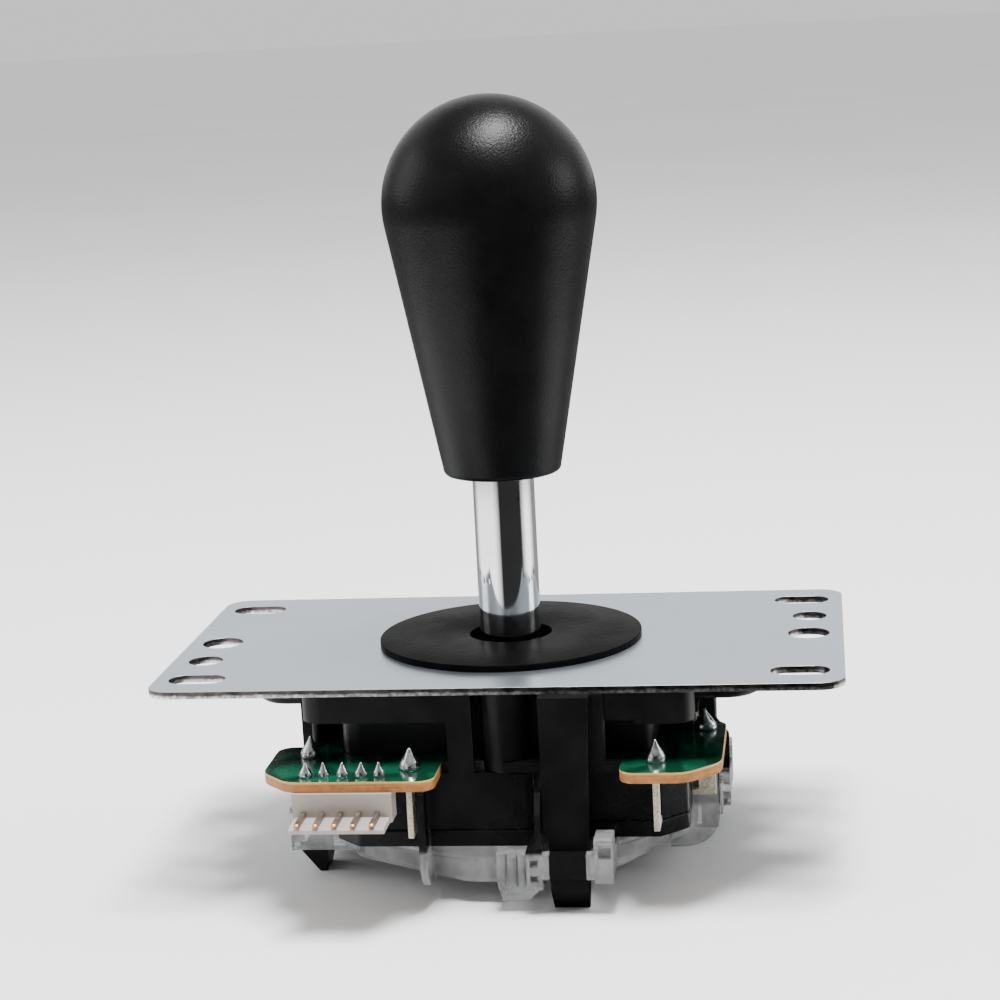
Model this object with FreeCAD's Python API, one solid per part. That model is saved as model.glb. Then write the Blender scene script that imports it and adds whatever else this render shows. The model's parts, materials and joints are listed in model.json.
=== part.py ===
import FreeCAD
import Part

import math
import os

# Arcade joystick lever: a sprung lever in a ball seat that works four switches through a cup-shaped
# actuator. Millimetres. Origin at the centre of the mounting plate's top face, +Z along the lever.
# The header is on the -Y side. What repeats four times is drawn on the -Y side and turned by quarters.

# Clearances
RUNNING_GAP = 0.05
SLIP_GAP = 0.1

# How far a cutter stands past the face that it cuts
OVERSHOOT = 0.1

# Mounting plate
PLATE_LENGTH = 95.0
PLATE_DEPTH = 53.0
PLATE_THICKNESS = 1.0
PLATE_CORNER_RADIUS = 3.5
SLOT_LENGTH = 8.0
SLOT_WIDTH = 4.4
SLOT_INSET_X = 6.0
SLOT_INSET_Y = 6.5
SIDE_HOLE_RADIUS = 2.95
SIDE_HOLE_INSET = 4.9
TOOLING_HOLE_RADIUS = 2.45
TOOLING_HOLE_INSET = 4.8
TOOLING_HOLE_Y = 10.0
PLATE_CENTRE_HOLE_RADIUS = 9.0

# Screws from the plate into the body, under the dust washer
SCREW_OFFSET = 10.2
SCREW_HEAD_RADIUS = 2.5
SCREW_SHANK_RADIUS = 1.4
SCREW_LENGTH = 6.5
SCREW_SOCKET_RADIUS = 0.9
SCREW_SOCKET_DEPTH = 0.7
SCREW_BOSS_RADIUS = 3.0

# Dust washer
WASHER_RADIUS = 18.85
WASHER_THICKNESS = 0.95
WASHER_HOLE_RADIUS = 5.9
WASHER_EDGE = 0.25

# Lever
PIVOT_Z = -5.2
BALL_RADIUS = 6.2
BALL_FOOT_DEPTH = 4.4
SHAFT_RADIUS = 4.4
SHAFT_CORE_RADIUS = 3.0
SHAFT_TOP = 24.4
SHAFT_BOTTOM = -29.6
SHAFT_END_CHAMFER = 0.6
SPIGOT_RADIUS = 3.0
SPIGOT_LENGTH = 14.0

# Bat top
BAT_RADIUS = 15.05
BAT_SPHERE_Z = 62.6
BAT_CONE_ANGLE = 10.2
BAT_FOOT_ROUNDING = 0.9
BAT_BORE_RESERVE = 2.0

# Spring collar, spring, actuator, clip
COLLAR_RADIUS = 8.5
COLLAR_THICKNESS = 1.5
COLLAR_RIM = 0.9
HUB_WALL = 0.9
HUB_LENGTH = 2.0
SPRING_WIRE_RADIUS = 0.45
SPRING_RADIUS = 4.65
SPRING_HALF_TURNS = 11
ACTUATOR_TOP = -14.6
ACTUATOR_RADIUS = 6.2
ACTUATOR_SHOULDER_Z = -21.9
ACTUATOR_WELL_DEPTH = 6.0
ACTUATOR_WELL_RADIUS = 5.35
TAIL_RADIUS = 5.0
TAIL_BOTTOM = -27.6
CLIP_THICKNESS = 0.8
CLIP_RADIUS = 4.9
GROOVE_RADIUS = 2.3
CLIP_MOUTH = 2.6
CLIP_LOBE_RADIUS = 1.0

# Body
DECK_HALF = 26.1
DECK_DEPTH = 3.85
DECK_WEB = 2.0
DECK_SKIRT = 2.2
DECK_CORNER_RADIUS = 3.0
CORNER_PAD_DEPTH = 0.6
CORNER_PAD_SIZE = 8.0
CORNER_PAD_REACH = 1.2
EAR_HALF_LENGTH = 36.0
EAR_HALF_WIDTH = 11.5
EAR_DEPTH = 5.4
EAR_CORNER_RADIUS = 5.0
EAR_EDGE_ROUNDING = 1.2
EAR_WALL = 2.0
EAR_RIB = 1.6
SEAT_RADIUS = 9.5
SEAT_BOTTOM = -6.6
THROAT_RADIUS = 5.6
RIB_THICKNESS = 1.6
RIB_DEPTH = 4.4
HOUSING_HALF = 21.6
HOUSING_WALL = 1.6
HOUSING_CORNER_RADIUS = 3.0

# Snap legs and posts of the body
LEG_X0 = 6.8
LEG_X1 = 13.6
LEG_OUTER = 28.6
LEG_THICKNESS = 2.4
LEG_BOTTOM = -30.6
LEG_NARROW_Z = -19.6
LEG_NARROW = 0.7
LEG_TAPER = 1.0
LEG_ROOT = 4.0
LEG_TIP_ROUND = 0.4
BARB_REACH = 1.4
BARB_HEIGHT = 1.8
BARB_TIP = 0.9
COLUMN_X0 = -6.0
COLUMN_X1 = -2.5
NOTCH_DEPTH = 5.5
POST_RADIUS = 3.0
POST_DRAFT = 0.3
LEDGE_OUTER = 26.4
LEDGE_HEIGHT = 1.3
GUARD_RADIUS = 0.95
GUARD_OUTER = 26.9

# Circuit board
BOARD_TOP = -10.7
BOARD_THICKNESS = 1.5
BOARD_HALF = 30.9
BOARD_NOTCH_X0 = -7.0
BOARD_NOTCH_X1 = 17.4
BOARD_NOTCH_Y = 24.9
BOARD_CORNER_CUT = 4.6
BOARD_CORNER_RADIUS = 2.2
BOARD_CUT_RADIUS = 4.0
BOARD_CENTRE_RADIUS = 10.4
BOARD_LIP_X0 = -26.8
BOARD_LIP_Y = 33.5

# Switches
SWITCH_LENGTH = 27.8
SWITCH_WIDTH = 10.2
SWITCH_DEPTH = 15.9
SWITCH_INNER = 10.0
SWITCH_END_X = 5.2
SWITCH_COVER = 2.3
SWITCH_CHAMFER = 3.7
SWITCH_CORNER_RADIUS = 1.0
SWITCH_PARTING = 0.2
SWITCH_HOLE_RADIUS = 1.55
SWITCH_HOLE_END = 3.65
SWITCH_HOLE_OUTER = 3.0
SWITCH_HOLE_SPACING_X = 22.2
SWITCH_HOLE_SPACING_Y = 10.3
PLUNGER_X = -13.0
PLUNGER_LENGTH = 3.2
PLUNGER_TAIL = 1.6
PLUNGER_DEPTH = 4.0
PLUNGER_ROUND = 0.7
PLUNGER_POCKET = 3.0

# Switch lever strips
STRIP_THICKNESS = 0.3
STRIP_WIDTH = 3.6
STRIP_ROOT_X = -19.8
STRIP_FOOT = 1.8
STRIP_END_X = 3.2
STRIP_RISE = 2.2
STRIP_TAIL = 1.0
STRIP_LIFT = 0.3

# Terminals and solder
TERMINAL_THICKNESS = 0.8
TERMINAL_WIDTH = 2.4
TERMINAL_FOOT = 0.8
TERMINAL_BOTTOM = -20.1
TERMINAL_SIDE_X = -11.0
TERMINAL_SIDE_Y = -28.1
TERMINAL_END_X = -25.9
TERMINAL_END_Y = -22.0
CONE_RADIUS = 1.5
CONE_HEIGHT = 3.0
PIN_CONE_RADIUS = 0.95
PIN_CONE_HEIGHT = 2.0
CONE_TOP = 0.25

# Header
PIN_COUNT = 5
PIN_PITCH = 2.5
PIN_SIZE = 0.64
PIN_FIRST_X = -24.5
PIN_ROW_Y = -31.2
PIN_LEVEL = -15.0
PIN_TIP_Y = -39.4
HEADER_MARGIN_LEFT = 1.5
HEADER_MARGIN_RIGHT = 1.9
HEADER_BACK_Y = -30.4
HEADER_FRONT_Y = -34.0
SHELF_TIP_Y = -38.6
SHELF_THICKNESS = 0.8
SHELF_DROP = 0.1
SHELF_LIP = 0.3
SHELF_INSET = 0.3

# Restrictor gate
GATE_RADIUS = 26.0
GATE_PLATE = 2.0
GATE_OPENING_HALF = 8.2
GATE_OPENING_RADIUS = 1.0
GATE_GUIDE_WALL = 2.2
GATE_GUIDE_DEPTH = 3.0
GATE_SKIRT_WALL = 1.6
GATE_SKIRT_DEPTH = 5.1
GATE_FACET = 24.2
GATE_FACET_TURN = 31.5
LOOP_BAR = 1.9
LOOP_BAR_TOP = -22.2
LOOP_BAR_BOTTOM = -25.6
LOOP_TOP = -20.1
LOOP_BOTTOM = -27.0
LOOP_ARM = 2.2
LOOP_GUSSET = 0.7
LOOP_BLOCK = 2.5
LOOP_BLOCK_BOTTOM = -26.2
LOOP_ROOT = 5.0
WINDOW_DEPTH = 1.2
WINDOW_INSET = 0.5
WINDOW_SPAN = 1.1
WINDOW_TOPS = (-22.8, -25.0)
POCKET_TOP = -20.8
POCKET_HEIGHT = 2.0
KNUCKLE_X0 = 0.3
KNUCKLE_OUTER = 29.6
KNUCKLE_BOTTOM = -29.1
KNUCKLE_FLUTES = 3
WEB_TOP = -14.0
WEB_WIDTH = 0.8
ARM_X0 = -10.0
ARM_X1 = -9.0
ARM_OUTER = 29.7
ARM_BOTTOM = -28.2
ARM_ROUND = 5.0
ARM_ROOT = 3.4
PEG_GAP = 0.05
PEG_HEIGHT = 4.5

# Places worked out from the sizes above
UP = FreeCAD.Vector(0, 0, 1)
CENTRE = FreeCAD.Vector(0, 0, 0)
DECK_TOP = -PLATE_THICKNESS
DECK_BOTTOM = DECK_TOP - DECK_DEPTH
BALL_FOOT = PIVOT_Z - BALL_FOOT_DEPTH
BALL_CROWN = PIVOT_Z + math.sqrt(BALL_RADIUS ** 2 - SHAFT_RADIUS ** 2)
COLLAR_BOTTOM = BALL_FOOT - COLLAR_THICKNESS
WELL_BOTTOM = ACTUATOR_TOP - ACTUATOR_WELL_DEPTH
HUB_RADIUS = SHAFT_CORE_RADIUS + RUNNING_GAP + HUB_WALL
BOARD_BOTTOM = BOARD_TOP - BOARD_THICKNESS
SWITCH_TOP = BOARD_BOTTOM
SWITCH_BOTTOM = SWITCH_TOP - SWITCH_WIDTH
SWITCH_SPLIT = SWITCH_BOTTOM + SWITCH_COVER
SWITCH_MIDDLE = (SWITCH_TOP + SWITCH_BOTTOM) / 2
SWITCH_START_X = SWITCH_END_X - SWITCH_LENGTH
SWITCH_OUTER = SWITCH_INNER + SWITCH_DEPTH
POST_X = SWITCH_END_X - SWITCH_HOLE_END
POST_Y = -(SWITCH_OUTER - SWITCH_HOLE_OUTER)
PEG_X = POST_X - SWITCH_HOLE_SPACING_X
PEG_Y = POST_Y + SWITCH_HOLE_SPACING_Y
GATE_TOP = SWITCH_BOTTOM
LEG_INNER = LEG_OUTER - LEG_THICKNESS
LOOP_X0 = LEG_X0 - SLIP_GAP - LOOP_ARM
LOOP_INNER = LEG_OUTER + SLIP_GAP
LOOP_OUTER = LOOP_INNER + LOOP_BAR
SIDES = ("front", "right", "back", "left")


def box(x0, y0, z0, x1, y1, z1):
    corner = FreeCAD.Vector(min(x0, x1), min(y0, y1), min(z0, z1))
    return Part.makeBox(abs(x1 - x0), abs(y1 - y0), abs(z1 - z0), corner)


def rod(radius, z0, z1, x=0.0, y=0.0):
    return Part.makeCylinder(radius, z1 - z0, FreeCAD.Vector(x, y, z0), UP)


def cone(radius0, radius1, z0, z1, x=0.0, y=0.0):
    return Part.makeCone(radius0, radius1, z1 - z0, FreeCAD.Vector(x, y, z0), UP)


def polygon(points):
    return Part.Face(Part.makePolygon(points + points[:1]))


def prism_z(outline, z0, z1):
    face = polygon([FreeCAD.Vector(x, y, z0) for x, y in outline])
    return face.extrude(FreeCAD.Vector(0, 0, z1 - z0))


def prism_y(outline, y0, y1):
    face = polygon([FreeCAD.Vector(x, y0, z) for x, z in outline])
    return face.extrude(FreeCAD.Vector(0, y1 - y0, 0))


def prism_x(outline, x0, x1):
    face = polygon([FreeCAD.Vector(x0, y, z) for y, z in outline])
    return face.extrude(FreeCAD.Vector(x1 - x0, 0, 0))


def turned(outline):
    face = polygon([FreeCAD.Vector(r, 0, z) for r, z in outline])
    return face.revolve(CENTRE, UP, 360)


def quarter(shape, count):
    copy = shape.copy()
    copy.rotate(CENTRE, UP, 90 * count)
    return copy


def quarters(shape):
    return [quarter(shape, count) for count in range(4)]


def joined(shapes):
    return shapes[0].multiFuse(shapes[1:]).removeSplitter()


def upright_edges(solid):
    """The straight edges that run parallel to Z."""
    found = []
    for edge in solid.Edges:
        bounds = edge.BoundBox
        if bounds.XLength < 1e-6 and bounds.YLength < 1e-6:
            found.append(edge)
    return found


def flat_rim(solid, z):
    """The outer edges of the flat face at one height."""
    for face in solid.Faces:
        bounds = face.BoundBox
        if bounds.ZLength < 1e-6 and abs(bounds.ZMin - z) < 1e-6:
            return face.OuterWire.Edges
    return []


def rounded_block(x0, y0, z0, x1, y1, z1, radius):
    block = box(x0, y0, z0, x1, y1, z1)
    return block.makeFillet(radius, upright_edges(block))


def slot_cutter(x, y, length, width, depth):
    half = (length - width) / 2
    middle = box(x - half, y - width / 2, -depth, x + half, y + width / 2, OVERSHOOT)
    ends = [rod(width / 2, -depth, OVERSHOOT, x + side * half, y) for side in (-1, 1)]
    return joined([middle] + ends)


def screw_places():
    return [(sx * SCREW_OFFSET, sy * SCREW_OFFSET) for sx in (-1, 1) for sy in (-1, 1)]


def mounting_plate():
    half_x = PLATE_LENGTH / 2
    half_y = PLATE_DEPTH / 2
    plate = rounded_block(-half_x, -half_y, DECK_TOP, half_x, half_y, 0, PLATE_CORNER_RADIUS)
    depth = PLATE_THICKNESS + OVERSHOOT
    cutters = [rod(PLATE_CENTRE_HOLE_RADIUS, -depth, OVERSHOOT)]
    for sx in (-1, 1):
        side_x = sx * (half_x - SIDE_HOLE_INSET)
        cutters.append(rod(SIDE_HOLE_RADIUS, -depth, OVERSHOOT, side_x, 0))
        tooling_x = sx * (half_x - TOOLING_HOLE_INSET)
        tooling_y = sx * TOOLING_HOLE_Y
        cutters.append(rod(TOOLING_HOLE_RADIUS, -depth, OVERSHOOT, tooling_x, tooling_y))
        for sy in (-1, 1):
            x = sx * (half_x - SLOT_INSET_X)
            y = sy * (half_y - SLOT_INSET_Y)
            cutters.append(slot_cutter(x, y, SLOT_LENGTH, SLOT_WIDTH, depth))
    for x, y in screw_places():
        cutters.append(cone(SCREW_SHANK_RADIUS, SCREW_HEAD_RADIUS, DECK_TOP, 0, x, y))
    return plate.cut(cutters)


def plate_screws():
    screws = []
    for x, y in screw_places():
        head = cone(SCREW_SHANK_RADIUS, SCREW_HEAD_RADIUS, DECK_TOP, 0, x, y)
        shank = rod(SCREW_SHANK_RADIUS, DECK_TOP - SCREW_LENGTH, DECK_TOP, x, y)
        socket = cone(0, SCREW_SOCKET_RADIUS, -SCREW_SOCKET_DEPTH, 0, x, y)
        screws.append(joined([head, shank]).cut(socket))
    return Part.makeCompound(screws)


def dust_washer():
    top = WASHER_THICKNESS
    edge = WASHER_EDGE
    outline = [
        (WASHER_HOLE_RADIUS, 0),
        (WASHER_RADIUS, 0),
        (WASHER_RADIUS, top - edge),
        (WASHER_RADIUS - edge, top),
        (WASHER_HOLE_RADIUS, top),
    ]
    return turned(outline)


def bat_top():
    angle = math.radians(BAT_CONE_ANGLE)
    tangent_r = BAT_RADIUS * math.cos(angle)
    tangent_z = BAT_SPHERE_Z - BAT_RADIUS * math.sin(angle)
    foot_r = tangent_r - (tangent_z - SHAFT_TOP) * math.tan(angle)
    side = math.radians((90 - BAT_CONE_ANGLE) / 2)
    mid = FreeCAD.Vector(BAT_RADIUS * math.cos(side), 0, BAT_SPHERE_Z + BAT_RADIUS * math.sin(side))
    crown = FreeCAD.Vector(0, 0, BAT_SPHERE_Z + BAT_RADIUS)
    tangent = FreeCAD.Vector(tangent_r, 0, tangent_z)
    foot = FreeCAD.Vector(foot_r, 0, SHAFT_TOP)
    base = FreeCAD.Vector(0, 0, SHAFT_TOP)
    edges = [
        Part.makeLine(base, foot),
        Part.makeLine(foot, tangent),
        Part.Arc(tangent, mid, crown).toShape(),
        Part.makeLine(crown, base),
    ]
    bat = Part.Face(Part.Wire(edges)).revolve(CENTRE, UP, 360)
    rim = [edge for edge in bat.Edges if abs(edge.BoundBox.ZMax - SHAFT_TOP) < 1e-6]
    bat = bat.makeFillet(BAT_FOOT_ROUNDING, rim)
    bore_top = SHAFT_TOP + SPIGOT_LENGTH + BAT_BORE_RESERVE
    return bat.cut(rod(SPIGOT_RADIUS, SHAFT_TOP, bore_top))


def shaft():
    groove_top = TAIL_BOTTOM
    groove_bottom = TAIL_BOTTOM - CLIP_THICKNESS
    spigot_top = SHAFT_TOP + SPIGOT_LENGTH
    chamfer = SHAFT_END_CHAMFER
    outline = [
        (0, SHAFT_BOTTOM),
        (SHAFT_CORE_RADIUS - chamfer, SHAFT_BOTTOM),
        (SHAFT_CORE_RADIUS, SHAFT_BOTTOM + chamfer),
        (SHAFT_CORE_RADIUS, groove_bottom),
        (GROOVE_RADIUS, groove_bottom),
        (GROOVE_RADIUS, groove_top),
        (SHAFT_CORE_RADIUS, groove_top),
        (SHAFT_CORE_RADIUS, BALL_CROWN),
        (SHAFT_RADIUS, BALL_CROWN),
        (SHAFT_RADIUS, SHAFT_TOP),
        (SPIGOT_RADIUS, SHAFT_TOP),
        (SPIGOT_RADIUS, spigot_top - chamfer),
        (SPIGOT_RADIUS - chamfer, spigot_top),
        (0, spigot_top),
    ]
    return turned(outline)


def retaining_clip():
    top = TAIL_BOTTOM
    bottom = top - CLIP_THICKNESS
    ring = rod(CLIP_RADIUS, bottom, top)
    hollow = rod(CLIP_RADIUS - CLIP_LOBE_RADIUS, bottom, top)
    lobes = [
        rod(CLIP_RADIUS - CLIP_LOBE_RADIUS, bottom, top).common(
            box(-CLIP_LOBE_RADIUS, 0, bottom, CLIP_LOBE_RADIUS, CLIP_RADIUS, top)
        )
    ]
    for angle in (120, 240):
        lobe = lobes[0].copy()
        lobe.rotate(CENTRE, UP, angle)
        lobes.append(lobe)
    clip = joined([ring.cut(hollow)] + lobes)
    mouth = box(-CLIP_MOUTH / 2, -CLIP_RADIUS, bottom, CLIP_MOUTH / 2, 0, top)
    return clip.cut([rod(GROOVE_RADIUS, bottom, top), mouth])


def pivot_ball():
    ball = Part.makeSphere(BALL_RADIUS, FreeCAD.Vector(0, 0, PIVOT_Z))
    slab = box(-BALL_RADIUS, -BALL_RADIUS, BALL_FOOT, BALL_RADIUS, BALL_RADIUS, BALL_CROWN)
    bore = rod(SHAFT_CORE_RADIUS + RUNNING_GAP, BALL_FOOT, BALL_CROWN)
    return ball.common(slab).cut(bore)


def spring_collar():
    rim_drop = COLLAR_BOTTOM - COLLAR_RIM
    bore = SHAFT_CORE_RADIUS + RUNNING_GAP
    outline = [
        (bore, BALL_FOOT),
        (COLLAR_RADIUS, BALL_FOOT),
        (COLLAR_RADIUS, rim_drop),
        (COLLAR_RADIUS - COLLAR_RIM, rim_drop),
        (COLLAR_RADIUS - 2 * COLLAR_RIM, COLLAR_BOTTOM),
        (HUB_RADIUS, COLLAR_BOTTOM),
        (HUB_RADIUS, COLLAR_BOTTOM - HUB_LENGTH),
        (bore, COLLAR_BOTTOM - HUB_LENGTH),
    ]
    return turned(outline)


def centring_spring():
    """A coil between the collar and the actuator's well, touching both, made of half turns."""
    start = WELL_BOTTOM + SPRING_WIRE_RADIUS
    rise = (COLLAR_BOTTOM - WELL_BOTTOM - 2 * SPRING_WIRE_RADIUS) / SPRING_HALF_TURNS
    depth_axis = FreeCAD.Vector(0, 1, 0)
    turns = []
    for index in range(SPRING_HALF_TURNS):
        side = 1 if index % 2 == 0 else -1
        begin = FreeCAD.Vector(side * SPRING_RADIUS, 0, start + rise * index)
        middle = FreeCAD.Vector(0, 0, start + rise * (index + 0.5))
        section = Part.Face(Part.Wire([Part.makeCircle(SPRING_WIRE_RADIUS, begin, depth_axis)]))
        axis = (begin - middle).cross(depth_axis)
        turns.append(section.revolve(middle, axis, 180))
    return joined(turns)


def actuator():
    bore = SHAFT_CORE_RADIUS + RUNNING_GAP
    lead = ACTUATOR_RADIUS - TAIL_RADIUS
    outline = [
        (bore, TAIL_BOTTOM),
        (TAIL_RADIUS, TAIL_BOTTOM),
        (TAIL_RADIUS, ACTUATOR_SHOULDER_Z - lead),
        (ACTUATOR_RADIUS, ACTUATOR_SHOULDER_Z),
        (ACTUATOR_RADIUS, ACTUATOR_TOP),
        (ACTUATOR_WELL_RADIUS, ACTUATOR_TOP),
        (ACTUATOR_WELL_RADIUS, WELL_BOTTOM),
        (HUB_RADIUS, WELL_BOTTOM),
        (HUB_RADIUS, ACTUATOR_TOP),
        (bore, ACTUATOR_TOP),
    ]
    return turned(outline)


def snap_leg():
    """A leg that carries the gate: straight shank, narrowed end, barb and pointed tip."""
    barb_top = LOOP_BAR_BOTTOM - SLIP_GAP
    side = [
        (-LEG_INNER, DECK_TOP),
        (-LEG_OUTER, DECK_TOP),
        (-LEG_OUTER, barb_top),
        (-LEG_OUTER - BARB_REACH, barb_top),
        (-LEG_OUTER - BARB_REACH, barb_top - BARB_HEIGHT),
        (-LEG_INNER - BARB_TIP - LEG_TIP_ROUND, LEG_BOTTOM),
        (-LEG_INNER - LEG_TIP_ROUND, LEG_BOTTOM),
        (-LEG_INNER, LEG_BOTTOM + BARB_HEIGHT),
        (-LEG_INNER, DECK_BOTTOM - LEG_ROOT),
        (-LEG_INNER + LEG_ROOT, DECK_BOTTOM),
        (-LEG_INNER + LEG_ROOT, DECK_TOP),
    ]
    front = [
        (LEG_X0, DECK_TOP),
        (LEG_X1, DECK_TOP),
        (LEG_X1 - LEG_TAPER, LEG_BOTTOM),
        (LEG_X0 + LEG_TAPER, LEG_BOTTOM),
        (LEG_X0 + LEG_NARROW, LEG_NARROW_Z - 2 * LEG_NARROW),
        (LEG_X0, LEG_NARROW_Z),
    ]
    reach = LEG_OUTER + BARB_REACH
    return prism_x(side, LEG_X0, LEG_X1).common(prism_y(front, -reach, -LEG_INNER + LEG_ROOT))


def board_column():
    """The post in front of the board's notch that presses on the switch."""
    back = -(BOARD_NOTCH_Y + SLIP_GAP)
    return box(COLUMN_X0, -DECK_HALF, SWITCH_TOP, COLUMN_X1, back, DECK_TOP)


def switch_post():
    """A round post on the switch's top with a spigot in the switch's hole."""
    post = cone(POST_RADIUS, POST_RADIUS + POST_DRAFT, SWITCH_TOP, DECK_TOP, POST_X, POST_Y)
    pin = rod(SWITCH_HOLE_RADIUS - PEG_GAP, SWITCH_TOP - PEG_HEIGHT, SWITCH_TOP, POST_X, POST_Y)
    return joined([post, pin])


def leg_guard():
    """The round-nosed rib beside a leg, down to the board."""
    bottom = BOARD_TOP + SLIP_GAP
    x = LEG_X1 + GUARD_RADIUS
    nose_y = -GUARD_OUTER + GUARD_RADIUS
    nose = rod(GUARD_RADIUS, bottom, DECK_TOP, x, nose_y)
    root = box(LEG_X1 - GUARD_RADIUS, -GUARD_OUTER, bottom, x, nose_y + GUARD_RADIUS, DECK_TOP)
    return joined([nose, root])


def leg_ledge():
    """The ledge in front of the board's notch, from a switch post past its leg."""
    back = -(BOARD_NOTCH_Y + SLIP_GAP)
    top = BOARD_TOP + SLIP_GAP
    return box(POST_X, -LEDGE_OUTER, top - LEDGE_HEIGHT, BOARD_NOTCH_X1 - SLIP_GAP, back, top)


def leg_rib():
    """The rib that ties a leg to the housing."""
    middle = (LEG_X0 + LEG_X1) / 2
    half = RIB_THICKNESS / 2
    inner = HOUSING_HALF - HOUSING_WALL / 2
    return box(middle - half, -LEG_INNER, BOARD_TOP + SLIP_GAP, middle + half, -inner, DECK_TOP)


def housing():
    """The square wall from the deck down to the board."""
    half = HOUSING_HALF
    bottom = BOARD_TOP + SLIP_GAP
    ceiling = DECK_TOP - DECK_WEB
    outer = rounded_block(-half, -half, bottom, half, half, DECK_TOP, HOUSING_CORNER_RADIUS)
    half = HOUSING_HALF - HOUSING_WALL
    radius = HOUSING_CORNER_RADIUS - HOUSING_WALL
    return outer.cut(rounded_block(-half, -half, bottom, half, half, ceiling, radius))


def deck():
    half = DECK_HALF
    inner = DECK_HALF - DECK_SKIRT
    ceiling = DECK_TOP - DECK_WEB
    slab = rounded_block(-half, -half, DECK_BOTTOM, half, half, DECK_TOP, DECK_CORNER_RADIUS)
    slab = slab.cut(box(-inner, -inner, DECK_BOTTOM, inner, inner, ceiling))
    pads = []
    for side in (-1, 1):
        inner = side * (half - CORNER_PAD_SIZE)
        outer_x = side * (half + CORNER_PAD_REACH)
        outer_y = -side * half
        bottom = DECK_BOTTOM - CORNER_PAD_DEPTH
        pads.append(rounded_block(inner, -inner, bottom, outer_x, outer_y, DECK_TOP, DECK_CORNER_RADIUS))
    return joined([slab] + pads)


def ears():
    """The pads under the plate's two ends, hollow from below with a middle rib."""
    bottom = DECK_TOP - EAR_DEPTH
    length = EAR_HALF_LENGTH
    width = EAR_HALF_WIDTH
    start = DECK_HALF - DECK_SKIRT
    block = rounded_block(-length, -width, bottom, length, width, DECK_TOP, EAR_CORNER_RADIUS)
    block = block.makeFillet(EAR_EDGE_ROUNDING, flat_rim(block, bottom))
    cutters = [box(-start, -width, bottom, start, width, DECK_TOP)]
    for side in (-1, 1):
        for half in (-1, 1):
            x0 = side * DECK_HALF
            x1 = side * (length - EAR_WALL)
            y0 = half * EAR_RIB / 2
            y1 = half * (width - EAR_WALL)
            cutters.append(rounded_block(x0, y0, bottom, x1, y1, DECK_TOP - EAR_WALL, EAR_RIB))
    return block.cut(cutters)


def ribs():
    """Ribs from the ball seat to the deck's skirt, two crossing the deck."""
    reach = DECK_HALF - DECK_SKIRT
    half = RIB_THICKNESS / 2
    bottom = DECK_TOP - RIB_DEPTH
    return [
        box(-reach, -half, bottom, reach, half, DECK_TOP),
        box(-half, -reach, bottom, half, reach, DECK_TOP),
    ]


def base_body():
    boss_bottom = DECK_TOP - SCREW_LENGTH - SLIP_GAP
    screw_bosses = [rod(SCREW_BOSS_RADIUS, boss_bottom, DECK_TOP, x, y) for x, y in screw_places()]
    seat = rod(SEAT_RADIUS, SEAT_BOTTOM, DECK_TOP)
    notch_back = -DECK_HALF + NOTCH_DEPTH
    notch = box(COLUMN_X1, -DECK_HALF - OVERSHOOT, DECK_BOTTOM, LEG_X0, notch_back, DECK_TOP)
    plain = deck().cut(quarters(notch))
    pieces = [plain, ears(), seat, housing()] + ribs() + screw_bosses
    for feature in (snap_leg(), leg_rib(), leg_guard(), leg_ledge(), board_column(), switch_post()):
        pieces.extend(quarters(feature))
    body = joined(pieces)
    ball_space = Part.makeSphere(BALL_RADIUS + RUNNING_GAP, FreeCAD.Vector(0, 0, PIVOT_Z))
    entry = rod(BALL_RADIUS + RUNNING_GAP, SEAT_BOTTOM, PIVOT_Z)
    throat = rod(THROAT_RADIUS, PIVOT_Z, DECK_TOP)
    hole_bottom = DECK_TOP - SCREW_LENGTH
    screw_holes = [rod(SCREW_SHANK_RADIUS, hole_bottom, DECK_TOP, x, y) for x, y in screw_places()]
    return body.cut([ball_space, entry, throat] + screw_holes)


def terminal_places():
    """Where the terminals of one switch come up through the board, drawn on the -Y side."""
    return [(TERMINAL_SIDE_X, TERMINAL_SIDE_Y), (TERMINAL_END_X, TERMINAL_END_Y)]


def pin_places():
    return [(PIN_FIRST_X + PIN_PITCH * index, PIN_ROW_Y) for index in range(PIN_COUNT)]


def square_hole(x, y, size, z0, z1):
    half = size / 2
    return box(x - half, y - half, z0, x + half, y + half, z1)


def board_outline():
    """The board's edge, from the header's lip round to the left side."""
    half = BOARD_HALF
    cut = BOARD_CORNER_CUT
    lobe = [
        (BOARD_NOTCH_X0, -half),
        (BOARD_NOTCH_X0, -BOARD_NOTCH_Y),
        (BOARD_NOTCH_X1, -BOARD_NOTCH_Y),
        (BOARD_NOTCH_X1, -half),
        (half - cut, -half),
        (half, -half + cut),
    ]
    points = []
    for count in range(4):
        for x, y in lobe:
            turn = [(x, y), (-y, x), (-x, -y), (y, -x)][count]
            points.append(turn)
    return points


def lobe_corners(board, beside_notch):
    """The corners at the lobes' ends: those beside a notch, or those of the cut-off corners."""
    found = []
    for edge in upright_edges(board):
        place = edge.Vertexes[0].Point
        is_lobe_end = max(abs(place.x), abs(place.y)) > BOARD_HALF - SLIP_GAP
        is_beside_notch = min(abs(place.x), abs(place.y)) < BOARD_NOTCH_X1 + SLIP_GAP
        if is_lobe_end and is_beside_notch == beside_notch:
            found.append(edge)
    return found


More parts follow.
